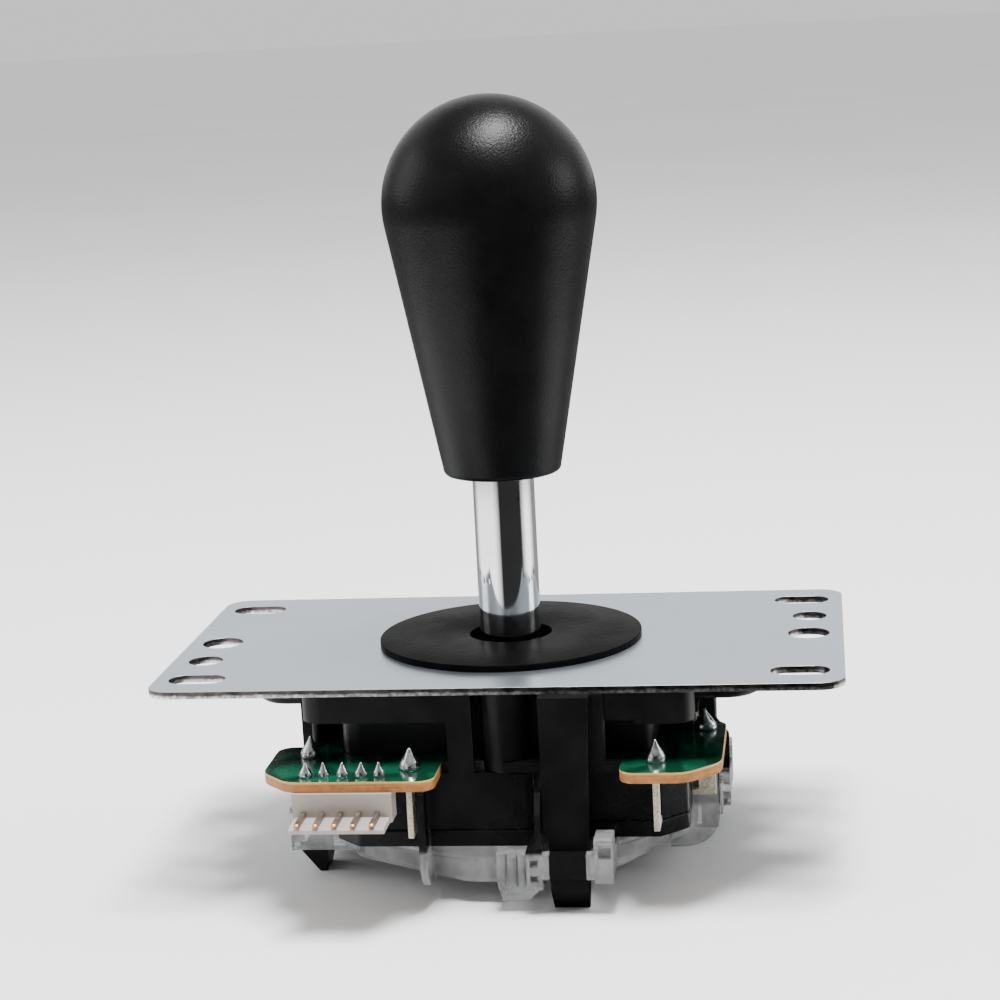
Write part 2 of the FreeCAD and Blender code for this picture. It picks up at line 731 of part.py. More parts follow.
def circuit_board():
    board = prism_z(board_outline(), BOARD_BOTTOM, BOARD_TOP)
    lip_outline = [
        (BOARD_NOTCH_X0, -BOARD_HALF + BOARD_CORNER_CUT),
        (BOARD_NOTCH_X0, -BOARD_LIP_Y),
        (BOARD_LIP_X0, -BOARD_LIP_Y),
        (-BOARD_HALF, -BOARD_LIP_Y + BOARD_CORNER_CUT),
        (-BOARD_HALF, -BOARD_HALF + BOARD_CORNER_CUT),
    ]
    board = joined([board, prism_z(lip_outline, BOARD_BOTTOM, BOARD_TOP)])
    board = board.makeFillet(BOARD_CUT_RADIUS, lobe_corners(board, beside_notch=False))
    board = board.makeFillet(BOARD_CORNER_RADIUS, lobe_corners(board, beside_notch=True))
    cutters = [rod(BOARD_CENTRE_RADIUS, BOARD_BOTTOM, BOARD_TOP)]
    post_hole = rod(POST_RADIUS + POST_DRAFT + SLIP_GAP, BOARD_BOTTOM, BOARD_TOP, POST_X, POST_Y)
    cutters.extend(quarters(post_hole))
    for x, y in terminal_places():
        hole = square_hole(x, y, TERMINAL_THICKNESS, BOARD_BOTTOM, BOARD_TOP)
        cutters.extend(quarters(hole))
    for x, y in pin_places():
        cutters.append(square_hole(x, y, PIN_SIZE, BOARD_BOTTOM, BOARD_TOP))
    return board.cut(cutters)


def solder_cone(x, y, radius, height):
    return cone(radius, CONE_TOP, BOARD_TOP, BOARD_TOP + height, x, y)


def solder_joints():
    cones = []
    for x, y in terminal_places():
        cones.extend(quarters(solder_cone(x, y, CONE_RADIUS, CONE_HEIGHT)))
    for x, y in pin_places():
        cones.append(solder_cone(x, y, PIN_CONE_RADIUS, PIN_CONE_HEIGHT))
    return Part.makeCompound(cones)


def switch_block(z0, z1):
    """The switch's outline with its chamfered corner and its two through holes."""
    outline = [
        (SWITCH_START_X, -SWITCH_INNER),
        (SWITCH_END_X, -SWITCH_INNER),
        (SWITCH_END_X, -SWITCH_OUTER),
        (SWITCH_START_X + SWITCH_CHAMFER, -SWITCH_OUTER),
        (SWITCH_START_X, -SWITCH_OUTER + SWITCH_CHAMFER),
    ]
    block = prism_z(outline, z0, z1)
    block = block.makeFillet(SWITCH_CORNER_RADIUS, upright_edges(block))
    holes = [
        rod(SWITCH_HOLE_RADIUS, z0, z1, POST_X, POST_Y),
        rod(SWITCH_HOLE_RADIUS, z0, z1, PEG_X, PEG_Y),
    ]
    return block.cut(holes)


def plunger_pocket():
    half_x = PLUNGER_LENGTH / 2 + RUNNING_GAP
    half_z = PLUNGER_DEPTH / 2 + RUNNING_GAP
    inner = -SWITCH_INNER
    return box(
        PLUNGER_X - half_x,
        inner - PLUNGER_POCKET,
        SWITCH_MIDDLE - half_z,
        PLUNGER_X + half_x,
        inner,
        SWITCH_MIDDLE + half_z,
    )


def switch_case():
    case = switch_block(SWITCH_SPLIT, SWITCH_TOP)
    case = case.makeChamfer(SWITCH_PARTING, flat_rim(case, SWITCH_SPLIT))
    return case.cut(plunger_pocket())


def switch_cover():
    cover = switch_block(SWITCH_BOTTOM, SWITCH_SPLIT)
    return cover.makeChamfer(SWITCH_PARTING, flat_rim(cover, SWITCH_SPLIT))


def strip_back(x):
    """Distance of the lever strip's switch side from the lever's axis."""
    share = (x - STRIP_ROOT_X) / (STRIP_END_X - STRIP_ROOT_X)
    return SWITCH_INNER - STRIP_LIFT - STRIP_RISE * share


def switch_plunger():
    half = PLUNGER_LENGTH / 2
    tip = -(strip_back(PLUNGER_X - half + PLUNGER_ROUND) + RUNNING_GAP)
    tail = -(SWITCH_INNER + PLUNGER_TAIL)
    outline = [
        (PLUNGER_X - half, tail),
        (PLUNGER_X + half, tail),
        (PLUNGER_X + half, tip - PLUNGER_ROUND),
        (PLUNGER_X + half - PLUNGER_ROUND, tip),
        (PLUNGER_X, tip),
        (PLUNGER_X - half + PLUNGER_ROUND, tip),
        (PLUNGER_X - half, tip - PLUNGER_ROUND),
    ]
    half_z = PLUNGER_DEPTH / 2
    return prism_z(outline, SWITCH_MIDDLE - half_z, SWITCH_MIDDLE + half_z)


def lever_strip():
    """A thin strip from a foot on the case to a free end bent back towards it."""
    thickness = STRIP_THICKNESS
    wall = -SWITCH_INNER
    root = -strip_back(STRIP_ROOT_X)
    end = -strip_back(STRIP_END_X)
    tail_x = STRIP_END_X + STRIP_TAIL
    outline = [
        (STRIP_ROOT_X - STRIP_FOOT, wall),
        (STRIP_ROOT_X - thickness, wall),
        (STRIP_ROOT_X, root),
        (STRIP_END_X, end),
        (tail_x, end - STRIP_TAIL),
        (tail_x + thickness, end - STRIP_TAIL),
        (STRIP_END_X + thickness, end + thickness),
        (STRIP_ROOT_X, root + thickness),
        (STRIP_ROOT_X - STRIP_FOOT, wall + thickness),
    ]
    half = STRIP_WIDTH / 2
    return prism_z(outline, SWITCH_MIDDLE - half, SWITCH_MIDDLE + half)


def terminal(wall, place):
    """A blade with a foot in the switch's wall and a tail up through the board, across and down."""
    half = TERMINAL_WIDTH / 2
    tail = TERMINAL_THICKNESS / 2
    foot_top = TERMINAL_BOTTOM + TERMINAL_FOOT
    return [
        (wall, TERMINAL_BOTTOM),
        (wall, foot_top),
        (place + half, foot_top),
        (place + half, BOARD_BOTTOM),
        (place + tail, BOARD_BOTTOM),
        (place + tail, BOARD_TOP),
        (place - tail, BOARD_TOP),
        (place - tail, BOARD_BOTTOM),
        (place - half, BOARD_BOTTOM),
        (place - half, TERMINAL_BOTTOM),
    ]


def switch_terminals():
    half = TERMINAL_THICKNESS / 2
    side = terminal(-SWITCH_OUTER, TERMINAL_SIDE_Y)
    end = terminal(SWITCH_START_X, TERMINAL_END_X)
    blades = [
        prism_x(side, TERMINAL_SIDE_X - half, TERMINAL_SIDE_X + half),
        prism_y(end, TERMINAL_END_Y - half, TERMINAL_END_Y + half),
    ]
    return Part.makeCompound(blades)


def header_sides():
    last = PIN_FIRST_X + PIN_PITCH * (PIN_COUNT - 1)
    return PIN_FIRST_X - HEADER_MARGIN_LEFT, last + HEADER_MARGIN_RIGHT


def header_pins():
    half = PIN_SIZE / 2
    outline = [
        (PIN_ROW_Y + half, BOARD_TOP),
        (PIN_ROW_Y - half, BOARD_TOP),
        (PIN_ROW_Y - half, PIN_LEVEL + half),
        (PIN_TIP_Y + half, PIN_LEVEL + half),
        (PIN_TIP_Y, PIN_LEVEL),
        (PIN_TIP_Y + half, PIN_LEVEL - half),
        (PIN_ROW_Y + half, PIN_LEVEL - half),
    ]
    pins = [prism_x(outline, x - half, x + half) for x, y in pin_places()]
    return Part.makeCompound(pins)


def header_housing():
    x0, x1 = header_sides()
    shelf_top = PIN_LEVEL - PIN_SIZE / 2 - SHELF_DROP
    bottom = shelf_top - SHELF_THICKNESS
    block = box(x0, HEADER_BACK_Y, bottom, x1, HEADER_FRONT_Y, BOARD_BOTTOM)
    shelf_side = [
        (HEADER_FRONT_Y, shelf_top),
        (SHELF_TIP_Y + SHELF_LIP, shelf_top),
        (SHELF_TIP_Y, shelf_top - SHELF_LIP),
        (SHELF_TIP_Y, bottom),
        (HEADER_FRONT_Y, bottom),
    ]
    shelf = prism_x(shelf_side, x0 + SHELF_INSET, x1 - SHELF_INSET)
    return joined([block, shelf]).cut(header_pins())


def gate_loop():
    """The frame round one snap leg: two arms with sunk windows and a bar in front of the leg."""
    left = LEG_X0 - SLIP_GAP
    right = LEG_X1 + SLIP_GAP
    x1 = right + LOOP_BLOCK
    root = GATE_RADIUS - LOOP_ROOT
    wall = SWITCH_OUTER + PEG_GAP
    bar = box(left, -LOOP_OUTER, LOOP_BAR_BOTTOM, right, -LOOP_INNER, LOOP_BAR_TOP)
    left_arm = box(LOOP_X0, -LOOP_OUTER, LOOP_BOTTOM, left, -root, GATE_TOP)
    right_arm = box(right, -LOOP_OUTER, LOOP_BLOCK_BOTTOM, x1, -root, GATE_TOP)
    right_top = box(right, -LOOP_OUTER, GATE_TOP, x1, -LEG_INNER, LOOP_TOP)
    gusset_front = [
        (LOOP_X0, GATE_TOP),
        (LOOP_X0, GATE_TOP + LOOP_GUSSET),
        (left - WEB_WIDTH, LOOP_TOP),
        (left, LOOP_TOP),
        (left, GATE_TOP),
    ]
    gusset = prism_y(gusset_front, -LOOP_OUTER, -wall)
    web_side = [
        (-wall, GATE_TOP),
        (-wall, WEB_TOP),
        (-LOOP_INNER, WEB_TOP),
        (-LOOP_OUTER, WEB_TOP - LOOP_BLOCK),
        (-LOOP_OUTER, GATE_TOP),
    ]
    web = prism_x(web_side, left - WEB_WIDTH, left)
    loop = joined([bar, left_arm, right_arm, right_top, gusset, web])
    front = -LOOP_OUTER
    back = front + WINDOW_DEPTH
    x0 = LOOP_X0 + WINDOW_INSET
    windows = [box(x0, front, top - WINDOW_SPAN, x0 + WINDOW_SPAN, back, top) for top in WINDOW_TOPS]
    pocket_x0 = right + WINDOW_INSET
    pocket_x1 = x1 - WINDOW_INSET / 2
    windows.append(box(pocket_x0, front, POCKET_TOP - POCKET_HEIGHT, pocket_x1, back, POCKET_TOP))
    return loop.cut(windows)


def gate_knuckle():
    """The fluted block beside a frame's left arm, drawn in towards its foot."""
    root = GATE_RADIUS - GATE_SKIRT_WALL
    foot_top = LOOP_BOTTOM
    flute = (LOOP_X0 - KNUCKLE_X0) / (2 * KNUCKLE_FLUTES)
    flute_y = -KNUCKLE_OUTER + flute
    pieces = [box(KNUCKLE_X0, flute_y, foot_top, LOOP_X0, -root, GATE_TOP)]
    for index in range(KNUCKLE_FLUTES):
        x = KNUCKLE_X0 + flute * (2 * index + 1)
        pieces.append(rod(flute, foot_top, GATE_TOP, x, flute_y))
    foot_front = [
        (KNUCKLE_X0, foot_top),
        (LOOP_X0 + LOOP_ARM, foot_top),
        (LOOP_X0, KNUCKLE_BOTTOM),
        (KNUCKLE_X0 + flute, KNUCKLE_BOTTOM),
    ]
    pieces.append(prism_y(foot_front, flute_y, -root))
    return joined(pieces)


def gate_arm():
    """The arm outside a switch, with a round lower corner, joined to the ring below."""
    wall = SWITCH_OUTER + PEG_GAP
    root = GATE_RADIUS - ARM_ROOT
    outline = [
        (-wall, WEB_TOP),
        (-ARM_OUTER, WEB_TOP),
        (-ARM_OUTER, ARM_BOTTOM),
        (-root, ARM_BOTTOM),
        (-root, GATE_TOP),
        (-wall, GATE_TOP),
    ]
    arm = prism_x(outline, ARM_X0, ARM_X1)
    corner = []
    for edge in arm.Edges:
        bounds = edge.BoundBox
        is_low = abs(bounds.ZMin - ARM_BOTTOM) < 1e-6 and bounds.ZLength < 1e-6
        if is_low and abs(bounds.YMin + ARM_OUTER) < 1e-6 and bounds.YLength < 1e-6:
            corner.append(edge)
    return arm.makeFillet(ARM_ROUND, corner)


def gate_skirt(inset, z0, z1):
    """The ring's outline with its four flats, drawn in by the inset."""
    half = GATE_FACET - inset
    flats = box(-half, -half, z0, half, half, z1)
    flats.rotate(CENTRE, UP, -GATE_FACET_TURN)
    return flats.common(rod(GATE_RADIUS - inset, z0, z1))


def restrictor_gate():
    plate_bottom = GATE_TOP - GATE_PLATE
    skirt_bottom = GATE_TOP - GATE_SKIRT_DEPTH
    guide_bottom = GATE_TOP - GATE_GUIDE_DEPTH
    guide = GATE_OPENING_HALF + GATE_GUIDE_WALL
    plate = rod(GATE_RADIUS, plate_bottom, GATE_TOP)
    skirt = gate_skirt(0, skirt_bottom, plate_bottom)
    skirt = skirt.cut(gate_skirt(GATE_SKIRT_WALL, skirt_bottom, plate_bottom))
    frame = box(-guide, -guide, guide_bottom, guide, guide, plate_bottom)
    pieces = [plate, skirt, frame]
    peg = rod(SWITCH_HOLE_RADIUS - PEG_GAP, GATE_TOP, GATE_TOP + PEG_HEIGHT, PEG_X, PEG_Y)
    for feature in (peg, gate_loop(), gate_knuckle(), gate_arm()):
        pieces.extend(quarters(feature))
    gate = joined(pieces)
    half = GATE_OPENING_HALF
    opening = rounded_block(-half, -half, guide_bottom, half, half, GATE_TOP, GATE_OPENING_RADIUS)
    leg_space = box(
        LEG_X0 - SLIP_GAP,
        -LEG_OUTER - SLIP_GAP,
        skirt_bottom,
        LEG_X1 + SLIP_GAP,
        -LEG_INNER + SLIP_GAP,
        GATE_TOP,
    )
    return gate.cut([opening] + quarters(leg_space))


def nodes():
    made = {
        "mounting_plate": mounting_plate(),
        "plate_screws": plate_screws(),
        "dust_washer": dust_washer(),
        "bat_top": bat_top(),
        "shaft": shaft(),
        "retaining_clip": retaining_clip(),
        "pivot_ball": pivot_ball(),
        "spring_collar": spring_collar(),
        "centring_spring": centring_spring(),
        "actuator": actuator(),
        "base_body": base_body(),
        "circuit_board": circuit_board(),
        "solder_joints": solder_joints(),
        "header_housing": header_housing(),
        "header_pins": header_pins(),
        "restrictor_gate": restrictor_gate(),
    }
    switch_pieces = {
        "switch_case": switch_case(),
        "switch_cover": switch_cover(),
        "switch_plunger": switch_plunger(),
        "lever_strip": lever_strip(),
        "switch_terminals": switch_terminals(),
    }
    for kind, shape in switch_pieces.items():
        for count, side in enumerate(SIDES):
            made[kind + "_" + side] = quarter(shape, count)
    return made


os.makedirs("parts", exist_ok=True)
for node, shape in nodes().items():
    shape.exportStep("parts/" + node + ".step")
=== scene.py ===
import json
import math

import bpy
from bpy.props import FloatProperty, FloatVectorProperty, IntProperty, PointerProperty
from mathutils import Euler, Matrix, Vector

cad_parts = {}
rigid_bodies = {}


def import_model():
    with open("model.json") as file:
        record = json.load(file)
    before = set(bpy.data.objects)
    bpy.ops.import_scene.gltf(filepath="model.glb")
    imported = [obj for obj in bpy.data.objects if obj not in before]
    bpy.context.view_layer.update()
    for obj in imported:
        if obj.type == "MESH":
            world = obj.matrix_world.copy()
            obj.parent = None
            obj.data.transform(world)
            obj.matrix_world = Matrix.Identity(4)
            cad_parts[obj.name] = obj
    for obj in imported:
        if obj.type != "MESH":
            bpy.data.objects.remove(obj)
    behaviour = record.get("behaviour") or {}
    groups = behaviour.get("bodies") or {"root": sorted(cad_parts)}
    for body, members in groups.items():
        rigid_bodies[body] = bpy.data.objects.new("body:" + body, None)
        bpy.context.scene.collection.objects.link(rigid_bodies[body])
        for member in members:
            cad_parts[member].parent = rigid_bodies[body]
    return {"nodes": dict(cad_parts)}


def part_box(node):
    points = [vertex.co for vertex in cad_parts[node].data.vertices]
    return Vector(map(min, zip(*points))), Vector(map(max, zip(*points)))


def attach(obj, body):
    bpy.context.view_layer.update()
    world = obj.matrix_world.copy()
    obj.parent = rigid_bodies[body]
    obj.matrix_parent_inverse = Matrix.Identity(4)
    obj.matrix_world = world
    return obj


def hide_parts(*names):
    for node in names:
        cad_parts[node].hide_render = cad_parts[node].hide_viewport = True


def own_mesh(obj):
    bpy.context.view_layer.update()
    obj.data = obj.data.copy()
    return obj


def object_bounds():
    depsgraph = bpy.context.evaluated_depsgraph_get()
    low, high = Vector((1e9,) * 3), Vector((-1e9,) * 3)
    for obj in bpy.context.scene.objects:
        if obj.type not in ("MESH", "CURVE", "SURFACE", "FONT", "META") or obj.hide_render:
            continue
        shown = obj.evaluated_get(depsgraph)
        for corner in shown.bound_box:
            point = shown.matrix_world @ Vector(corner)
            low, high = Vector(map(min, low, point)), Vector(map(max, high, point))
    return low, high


bl_info = {
    "name": "Arcade joystick lever",
    "version": (1, 0, 0),
    "blender": (4, 5, 0),
    "location": "View3D > Sidebar > Lever",
    "description": "Dresses the frame of an arcade joystick lever: "
                   "finishes, softened edges, solder and studio",
    "category": "Object",
}

MM = 0.001
SIDES = ("front", "right", "back", "left")

# Where black pieces stand close behind the clear gate, dark is painted into its colour in their
# stead: spans along each of its four sides, how far out they start, and the heights between which
# the arms and strips get that painted dark
LEG_SPAN = (7.6 * MM, 12.6 * MM)
LEG_OUTWARDS = 28.2 * MM
ARM_SPAN = (-10.2 * MM, -8.8 * MM)
ARM_OUTWARDS = 29.55 * MM
ARM_SIDE_SPAN = (-9.15 * MM, -8.8 * MM)
STRIP_SPAN = (4.0 * MM, 6.9 * MM)
INNER_OUTWARDS = 26.0 * MM
PAINTED_DARK_HEIGHTS = (-22.4 * MM, -21.8 * MM)

# The board: how far from the axis its edge and underside get painted shade, as they lie in shadow
# under the deck, the stretch over which that fades, and the depths of its pale rim; then the bare
# copper at the header pins' tips
EDGE_SHADE_PAINTED_INSIDE = 25.2 * MM
UNDERSIDE_SHADE_PAINTED_INSIDE = -5.0 * MM
PAINTED_SHADE_FADE = 2.8 * MM
RIM_DEPTHS = (0.40 * MM, 0.15 * MM)
BARE_TIP = (0.6 * MM, 0.3 * MM)

# The part of the sheet's thickness above which its sheared edge is burnished
BURNISHED_FROM = 0.72

# Widths of the roundings on small pieces, and the sharpest angle that stays unrounded
EDGES = {
    "clip": 0.10 * MM, "screws": 0.10 * MM, "header": 0.10 * MM, "washer": 0.12 * MM,
    "seat": 0.15 * MM, "plunger": 0.15 * MM, "board": 0.05 * MM, "pins": 0.08 * MM,
    "blades": 0.08 * MM, "strip": 0.06 * MM,
}
BEVEL_ANGLE = 30.0

# Solder joints: which are tall, their radii, and how their tips are told apart
TALL_JOINT = 2.5 * MM
TALL_JOINT_RADIUS = 1.45 * MM
LOW_JOINT_RADIUS = 0.84 * MM
JOINT_STEPS = 28
TIP_HEIGHT = 1.5 * MM
TIP_SPACING = 1.0 * MM

# What the object mirrors: a dark card painted in front, the floor painted for mirrored rays by its
# distance and direction, and the surround by its direction; greys are plain values
PAINTED_CARD_LEFT_EDGE = (-0.60, -0.20)
PAINTED_CARD_RIGHT_EDGE = (0.0, -0.40)
PAINTED_CARD_GREY = 0.012
FLOOR_FADE = (0.26, 0.33)
FLOOR_BEHIND = (0.25, 0.65)
PAINTED_REFLECTION_GREYS = {"near": 0.92, "far": 0.16, "behind": 0.12}
DIM_SIDEWAYS = (0.40, 0.75)
DIM_LOW = (0.65, 0.35)
DIM_HIGH = (0.45, 0.65)
SURROUND_GREYS = {"glow": 0.75, "dimmed": 0.20, "seen": 0.51}

# Studio
FLOOR_SIZE = 60.0
FLOOR_GAP = 0.02 * MM
LIGHT_TARGET = (0.0, 0.0, 0.02)
SENSOR_WIDTH = 36.0
CAMERA_CLIP = (0.01, 20.0)

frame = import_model()
NODES = frame["nodes"]
CAD_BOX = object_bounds()


# Settings

def colour_setting(name, description, default):
    return FloatVectorProperty(
        name=name, description=description, subtype="COLOR", default=default, min=0.0, max=1.0
    )


class LeverShapeSettings(bpy.types.PropertyGroup):
    turned_steps: IntProperty(
        name="Steps round turned pieces",
        description="How many faces go round the handle, the shaft and the dust washer",
        default=128,
        min=24,
        max=256,
    )
    moulded_edge: FloatProperty(
        name="Moulded edge",
        description="Width of the rounding on the edges of the moulded body",
        default=0.25 * MM,
        min=0.0,
        unit="LENGTH",
    )
    fine_edge: FloatProperty(
        name="Fine edge",
        description="Width of the rounding on the switches and the gate",
        default=0.12 * MM,
        min=0.0,
        unit="LENGTH",
    )
    metal_edge: FloatProperty(
        name="Metal edge",
        description="Width of the rounding on the edges of pressed metal",
        default=0.12 * MM,
        min=0.0,
        unit="LENGTH",
    )
    solder_spread: FloatProperty(
        name="Solder spread",
        description="How much the solder joints differ from each other",
        default=0.08,
        min=0.0,
        max=0.3,
        subtype="FACTOR",
    )


class LeverFinishSettings(bpy.types.PropertyGroup):
    plate_colour: colour_setting(
        "Plate", "Colour of the plated mounting plate", (0.575, 0.642, 0.69)
    )
    handle_colour: colour_setting(
        "Handle", "Colour of the moulded handle", (0.0024, 0.0024, 0.0026)
    )
    body_colour: colour_setting(
        "Body", "Colour of the moulded body and the switches", (0.0042, 0.0042, 0.0046)
    )
    mask_colour: colour_setting(
        "Solder mask", "Colour of the circuit board's solder mask", (0.005, 0.070, 0.036)
    )
    laminate_colour: colour_setting(
        "Board edge", "Colour of the board's cut edge", (0.32, 0.118, 0.023)
    )
    clear_colour: colour_setting(
        "Clear gate", "Colour of the clear restrictor gate", (0.93, 0.935, 0.94)
    )


class LeverStudioSettings(bpy.types.PropertyGroup):
    lens: FloatProperty(
        name="Lens",
        description="Focal length of the camera in millimetres",
        default=87.8,
        min=10.0,
    )
    azimuth: FloatProperty(
        name="Camera yaw",
        description="How far the camera looks to the left of straight ahead",
        default=math.radians(7.74),
        subtype="ANGLE",
    )
    pitch: FloatProperty(
        name="Camera pitch",
        description="How far the camera looks down",
        default=math.radians(11.06),
        subtype="ANGLE",
    )
    roll: FloatProperty(
        name="Camera roll",
        description="How far the camera is turned about its line of sight",
        default=math.radians(2.93),
        subtype="ANGLE",
    )
    camera_place: FloatVectorProperty(
        name="Camera place",
        description="Where the camera stands",
        subtype="TRANSLATION",
        unit="LENGTH",
        default=(45.4 * MM, -338.5 * MM, 87.1 * MM),
    )
    surround: FloatProperty(
        name="Surround light",
        description="Strength of the light from all round",
        default=1.7,
        min=0.0,
    )


# Node groups for the effects that several materials share

def add_socket(group, name, direction, kind, default=None):
    socket = group.interface.new_socket(name=name, in_out=direction, socket_type=kind)
    if default is not None:
        socket.default_value = default
    return socket


def new_group(name, inputs, outputs):
    group = bpy.data.node_groups.new(name, "ShaderNodeTree")
    for label, kind, default in inputs:
        add_socket(group, label, "INPUT", kind, default)
    for label, kind in outputs:
        add_socket(group, label, "OUTPUT", kind)
    start = group.nodes.new("NodeGroupInput")
    end = group.nodes.new("NodeGroupOutput")
    return group, start, end


def noise(tree, vector, scale, detail=2.0, roughness=0.5):
    """A noise node; scale is a socket to follow or a plain number."""
    node = tree.nodes.new("ShaderNodeTexNoise")
    node.inputs["Detail"].default_value = detail
    node.inputs["Roughness"].default_value = roughness
    tree.links.new(vector, node.inputs["Vector"])
    if isinstance(scale, (int, float)):
        node.inputs["Scale"].default_value = scale
    else:
        tree.links.new(scale, node.inputs["Scale"])
    return node


def arithmetic(tree, operation, first, second=None):
    node = tree.nodes.new("ShaderNodeMath")
    node.operation = operation
    for index, value in enumerate((first, second)):
        if value is None:
            continue
        if isinstance(value, (int, float)):
            node.inputs[index].default_value = value
        else:
            tree.links.new(value, node.inputs[index])
    return node.outputs["Value"]


def spread(tree, value, low, high, out_low=0.0, out_high=1.0):
    """Maps one range of a value onto another, held at both ends."""
    node = tree.nodes.new("ShaderNodeMapRange")
    settings = {"From Min": low, "From Max": high, "To Min": out_low, "To Max": out_high}
    for label, setting in settings.items():
        if isinstance(setting, (int, float)):
            node.inputs[label].default_value = setting
        else:
            tree.links.new(setting, node.inputs[label])
    tree.links.new(value, node.inputs["Value"])
    return node.outputs["Result"]


def mixed_colour(tree, share, first, second):
    node = tree.nodes.new("ShaderNodeMix")
    node.data_type = "RGBA"
    tree.links.new(share, node.inputs[0])
    for index, colour in ((6, first), (7, second)):
        if isinstance(colour, tuple):
            node.inputs[index].default_value = colour
        else:
            tree.links.new(colour, node.inputs[index])
    return node.outputs[2]


def grain_group():
    """Fine moulded grain: two sizes of noise as a height."""
    group, start, end = new_group(
        "Moulded grain",
        [
            ("Vector", "NodeSocketVector", None),
            ("Scale", "NodeSocketFloat", 3000.0),
            ("Coarse share", "NodeSocketFloat", 0.4),
        ],
        [("Height", "NodeSocketFloat")],
    )
    fine = noise(group, start.outputs["Vector"], start.outputs["Scale"], 3.0)
    coarse_scale = arithmetic(group, "MULTIPLY", start.outputs["Scale"], 0.22)
    coarse = noise(group, start.outputs["Vector"], coarse_scale, 2.0)
    weighted = arithmetic(group, "MULTIPLY", coarse.outputs["Fac"], start.outputs["Coarse share"])
    height = arithmetic(group, "ADD", fine.outputs["Fac"], weighted)
    group.links.new(height, end.inputs["Height"])
    return group


def tone_group():
    """A colour that drifts between two tones in soft patches."""
    group, start, end = new_group(
        "Tone drift",
        [
            ("Vector", "NodeSocketVector", None),
            ("Scale", "NodeSocketFloat", 120.0),
            ("Dark", "NodeSocketColor", (0.1, 0.1, 0.1, 1.0)),
            ("Light", "NodeSocketColor", (0.2, 0.2, 0.2, 1.0)),
        ],
        [("Color", "NodeSocketColor")],
    )
    patches = noise(group, start.outputs["Vector"], start.outputs["Scale"], 4.0, 0.6)
    share = spread(group, patches.outputs["Fac"], 0.35, 0.65)
    colour = mixed_colour(group, share, start.outputs["Dark"], start.outputs["Light"])
    group.links.new(colour, end.inputs["Color"])
    return group


def polish_group():
    """Roughness that varies in smears between a low and a high value."""
    group, start, end = new_group(
        "Polish drift",
        [
            ("Vector", "NodeSocketVector", None),
            ("Scale", "NodeSocketFloat", 90.0),
            ("Lowest", "NodeSocketFloat", 0.3),
            ("Highest", "NodeSocketFloat", 0.45),
        ],
        [("Roughness", "NodeSocketFloat")],
    )
    smears = noise(group, start.outputs["Vector"], start.outputs["Scale"], 5.0, 0.65)
    result = spread(
        group, smears.outputs["Fac"], 0.3, 0.7, start.outputs["Lowest"], start.outputs["Highest"]
    )
    group.links.new(result, end.inputs["Roughness"])
    return group


def scratch_group():
    """Thin hairlines along one direction, as a mask."""
    group, start, end = new_group(
        "Hairlines",
        [
            ("Vector", "NodeSocketVector", None),
            ("Stretch", "NodeSocketVector", (40.0, 2500.0, 2500.0)),
            ("Share", "NodeSocketFloat", 0.3),
        ],
        [("Mask", "NodeSocketFloat")],
    )
    scaled = group.nodes.new("ShaderNodeVectorMath")
    scaled.operation = "MULTIPLY"
    group.links.new(start.outputs["Vector"], scaled.inputs[0])
    group.links.new(start.outputs["Stretch"], scaled.inputs[1])
    lines = noise(group, scaled.outputs["Vector"], 1.0, 2.0)
    edge = arithmetic(group, "SUBTRACT", 0.78, start.outputs["Share"])
    mask = spread(group, lines.outputs["Fac"], edge, 0.8)
    group.links.new(mask, end.inputs["Mask"])
    return group


def speck_group():
    """Small round specks of dust or pits, as a mask."""
    group, start, end = new_group(
        "Specks",
        [
            ("Vector", "NodeSocketVector", None),
            ("Scale", "NodeSocketFloat", 900.0),
            ("Size", "NodeSocketFloat", 0.12),
            ("Share", "NodeSocketFloat", 0.15),
        ],
        [("Mask", "NodeSocketFloat")],
    )
    cells = group.nodes.new("ShaderNodeTexVoronoi")
    group.links.new(start.outputs["Vector"], cells.inputs["Vector"])
    group.links.new(start.outputs["Scale"], cells.inputs["Scale"])
    near = spread(group, cells.outputs["Distance"], start.outputs["Size"], 0.0)
    pick = group.nodes.new("ShaderNodeSeparateColor")
    group.links.new(cells.outputs["Color"], pick.inputs["Color"])
    chosen = arithmetic(group, "LESS_THAN", pick.outputs["Red"], start.outputs["Share"])
    mask = arithmetic(group, "MULTIPLY", near, chosen)
    group.links.new(mask, end.inputs["Mask"])
    return group


GROUPS = {}


def group_node(material, name, **values):
    """Places a shared effect in a material, fed with the object's own coordinates."""
    tree = material.node_tree
    node = tree.nodes.new("ShaderNodeGroup")
    node.node_tree = GROUPS[name]
    tree.links.new(object_coordinates(material), node.inputs["Vector"])
    for label, value in values.items():
        node.inputs[label.replace("_", " ")].default_value = value
    return node


def object_coordinates(material):
    tree = material.node_tree
    for node in tree.nodes:
        if node.bl_idname == "ShaderNodeTexCoord":
            return node.outputs["Object"]
    return tree.nodes.new("ShaderNodeTexCoord").outputs["Object"]


def axes_of(tree, vector):
    """The X, Y and Z sockets of a vector."""
    parts = tree.nodes.new("ShaderNodeSeparateXYZ")
    tree.links.new(vector, parts.inputs["Vector"])
    return parts.outputs


def painted_dark_card(tree, direction):
    """How far a direction points at the dark card painted in front of the object."""
    parts = axes_of(tree, direction)
    left_edge = spread(tree, parts["X"], *PAINTED_CARD_LEFT_EDGE)
    right_edge = spread(tree, parts["Y"], *PAINTED_CARD_RIGHT_EDGE)
    return arithmetic(tree, "MULTIPLY", left_edge, right_edge)


def plain_material(name):
    material = bpy.data.materials.new(name)
    material.use_nodes = True
    return material, material.node_tree.nodes["Principled BSDF"]


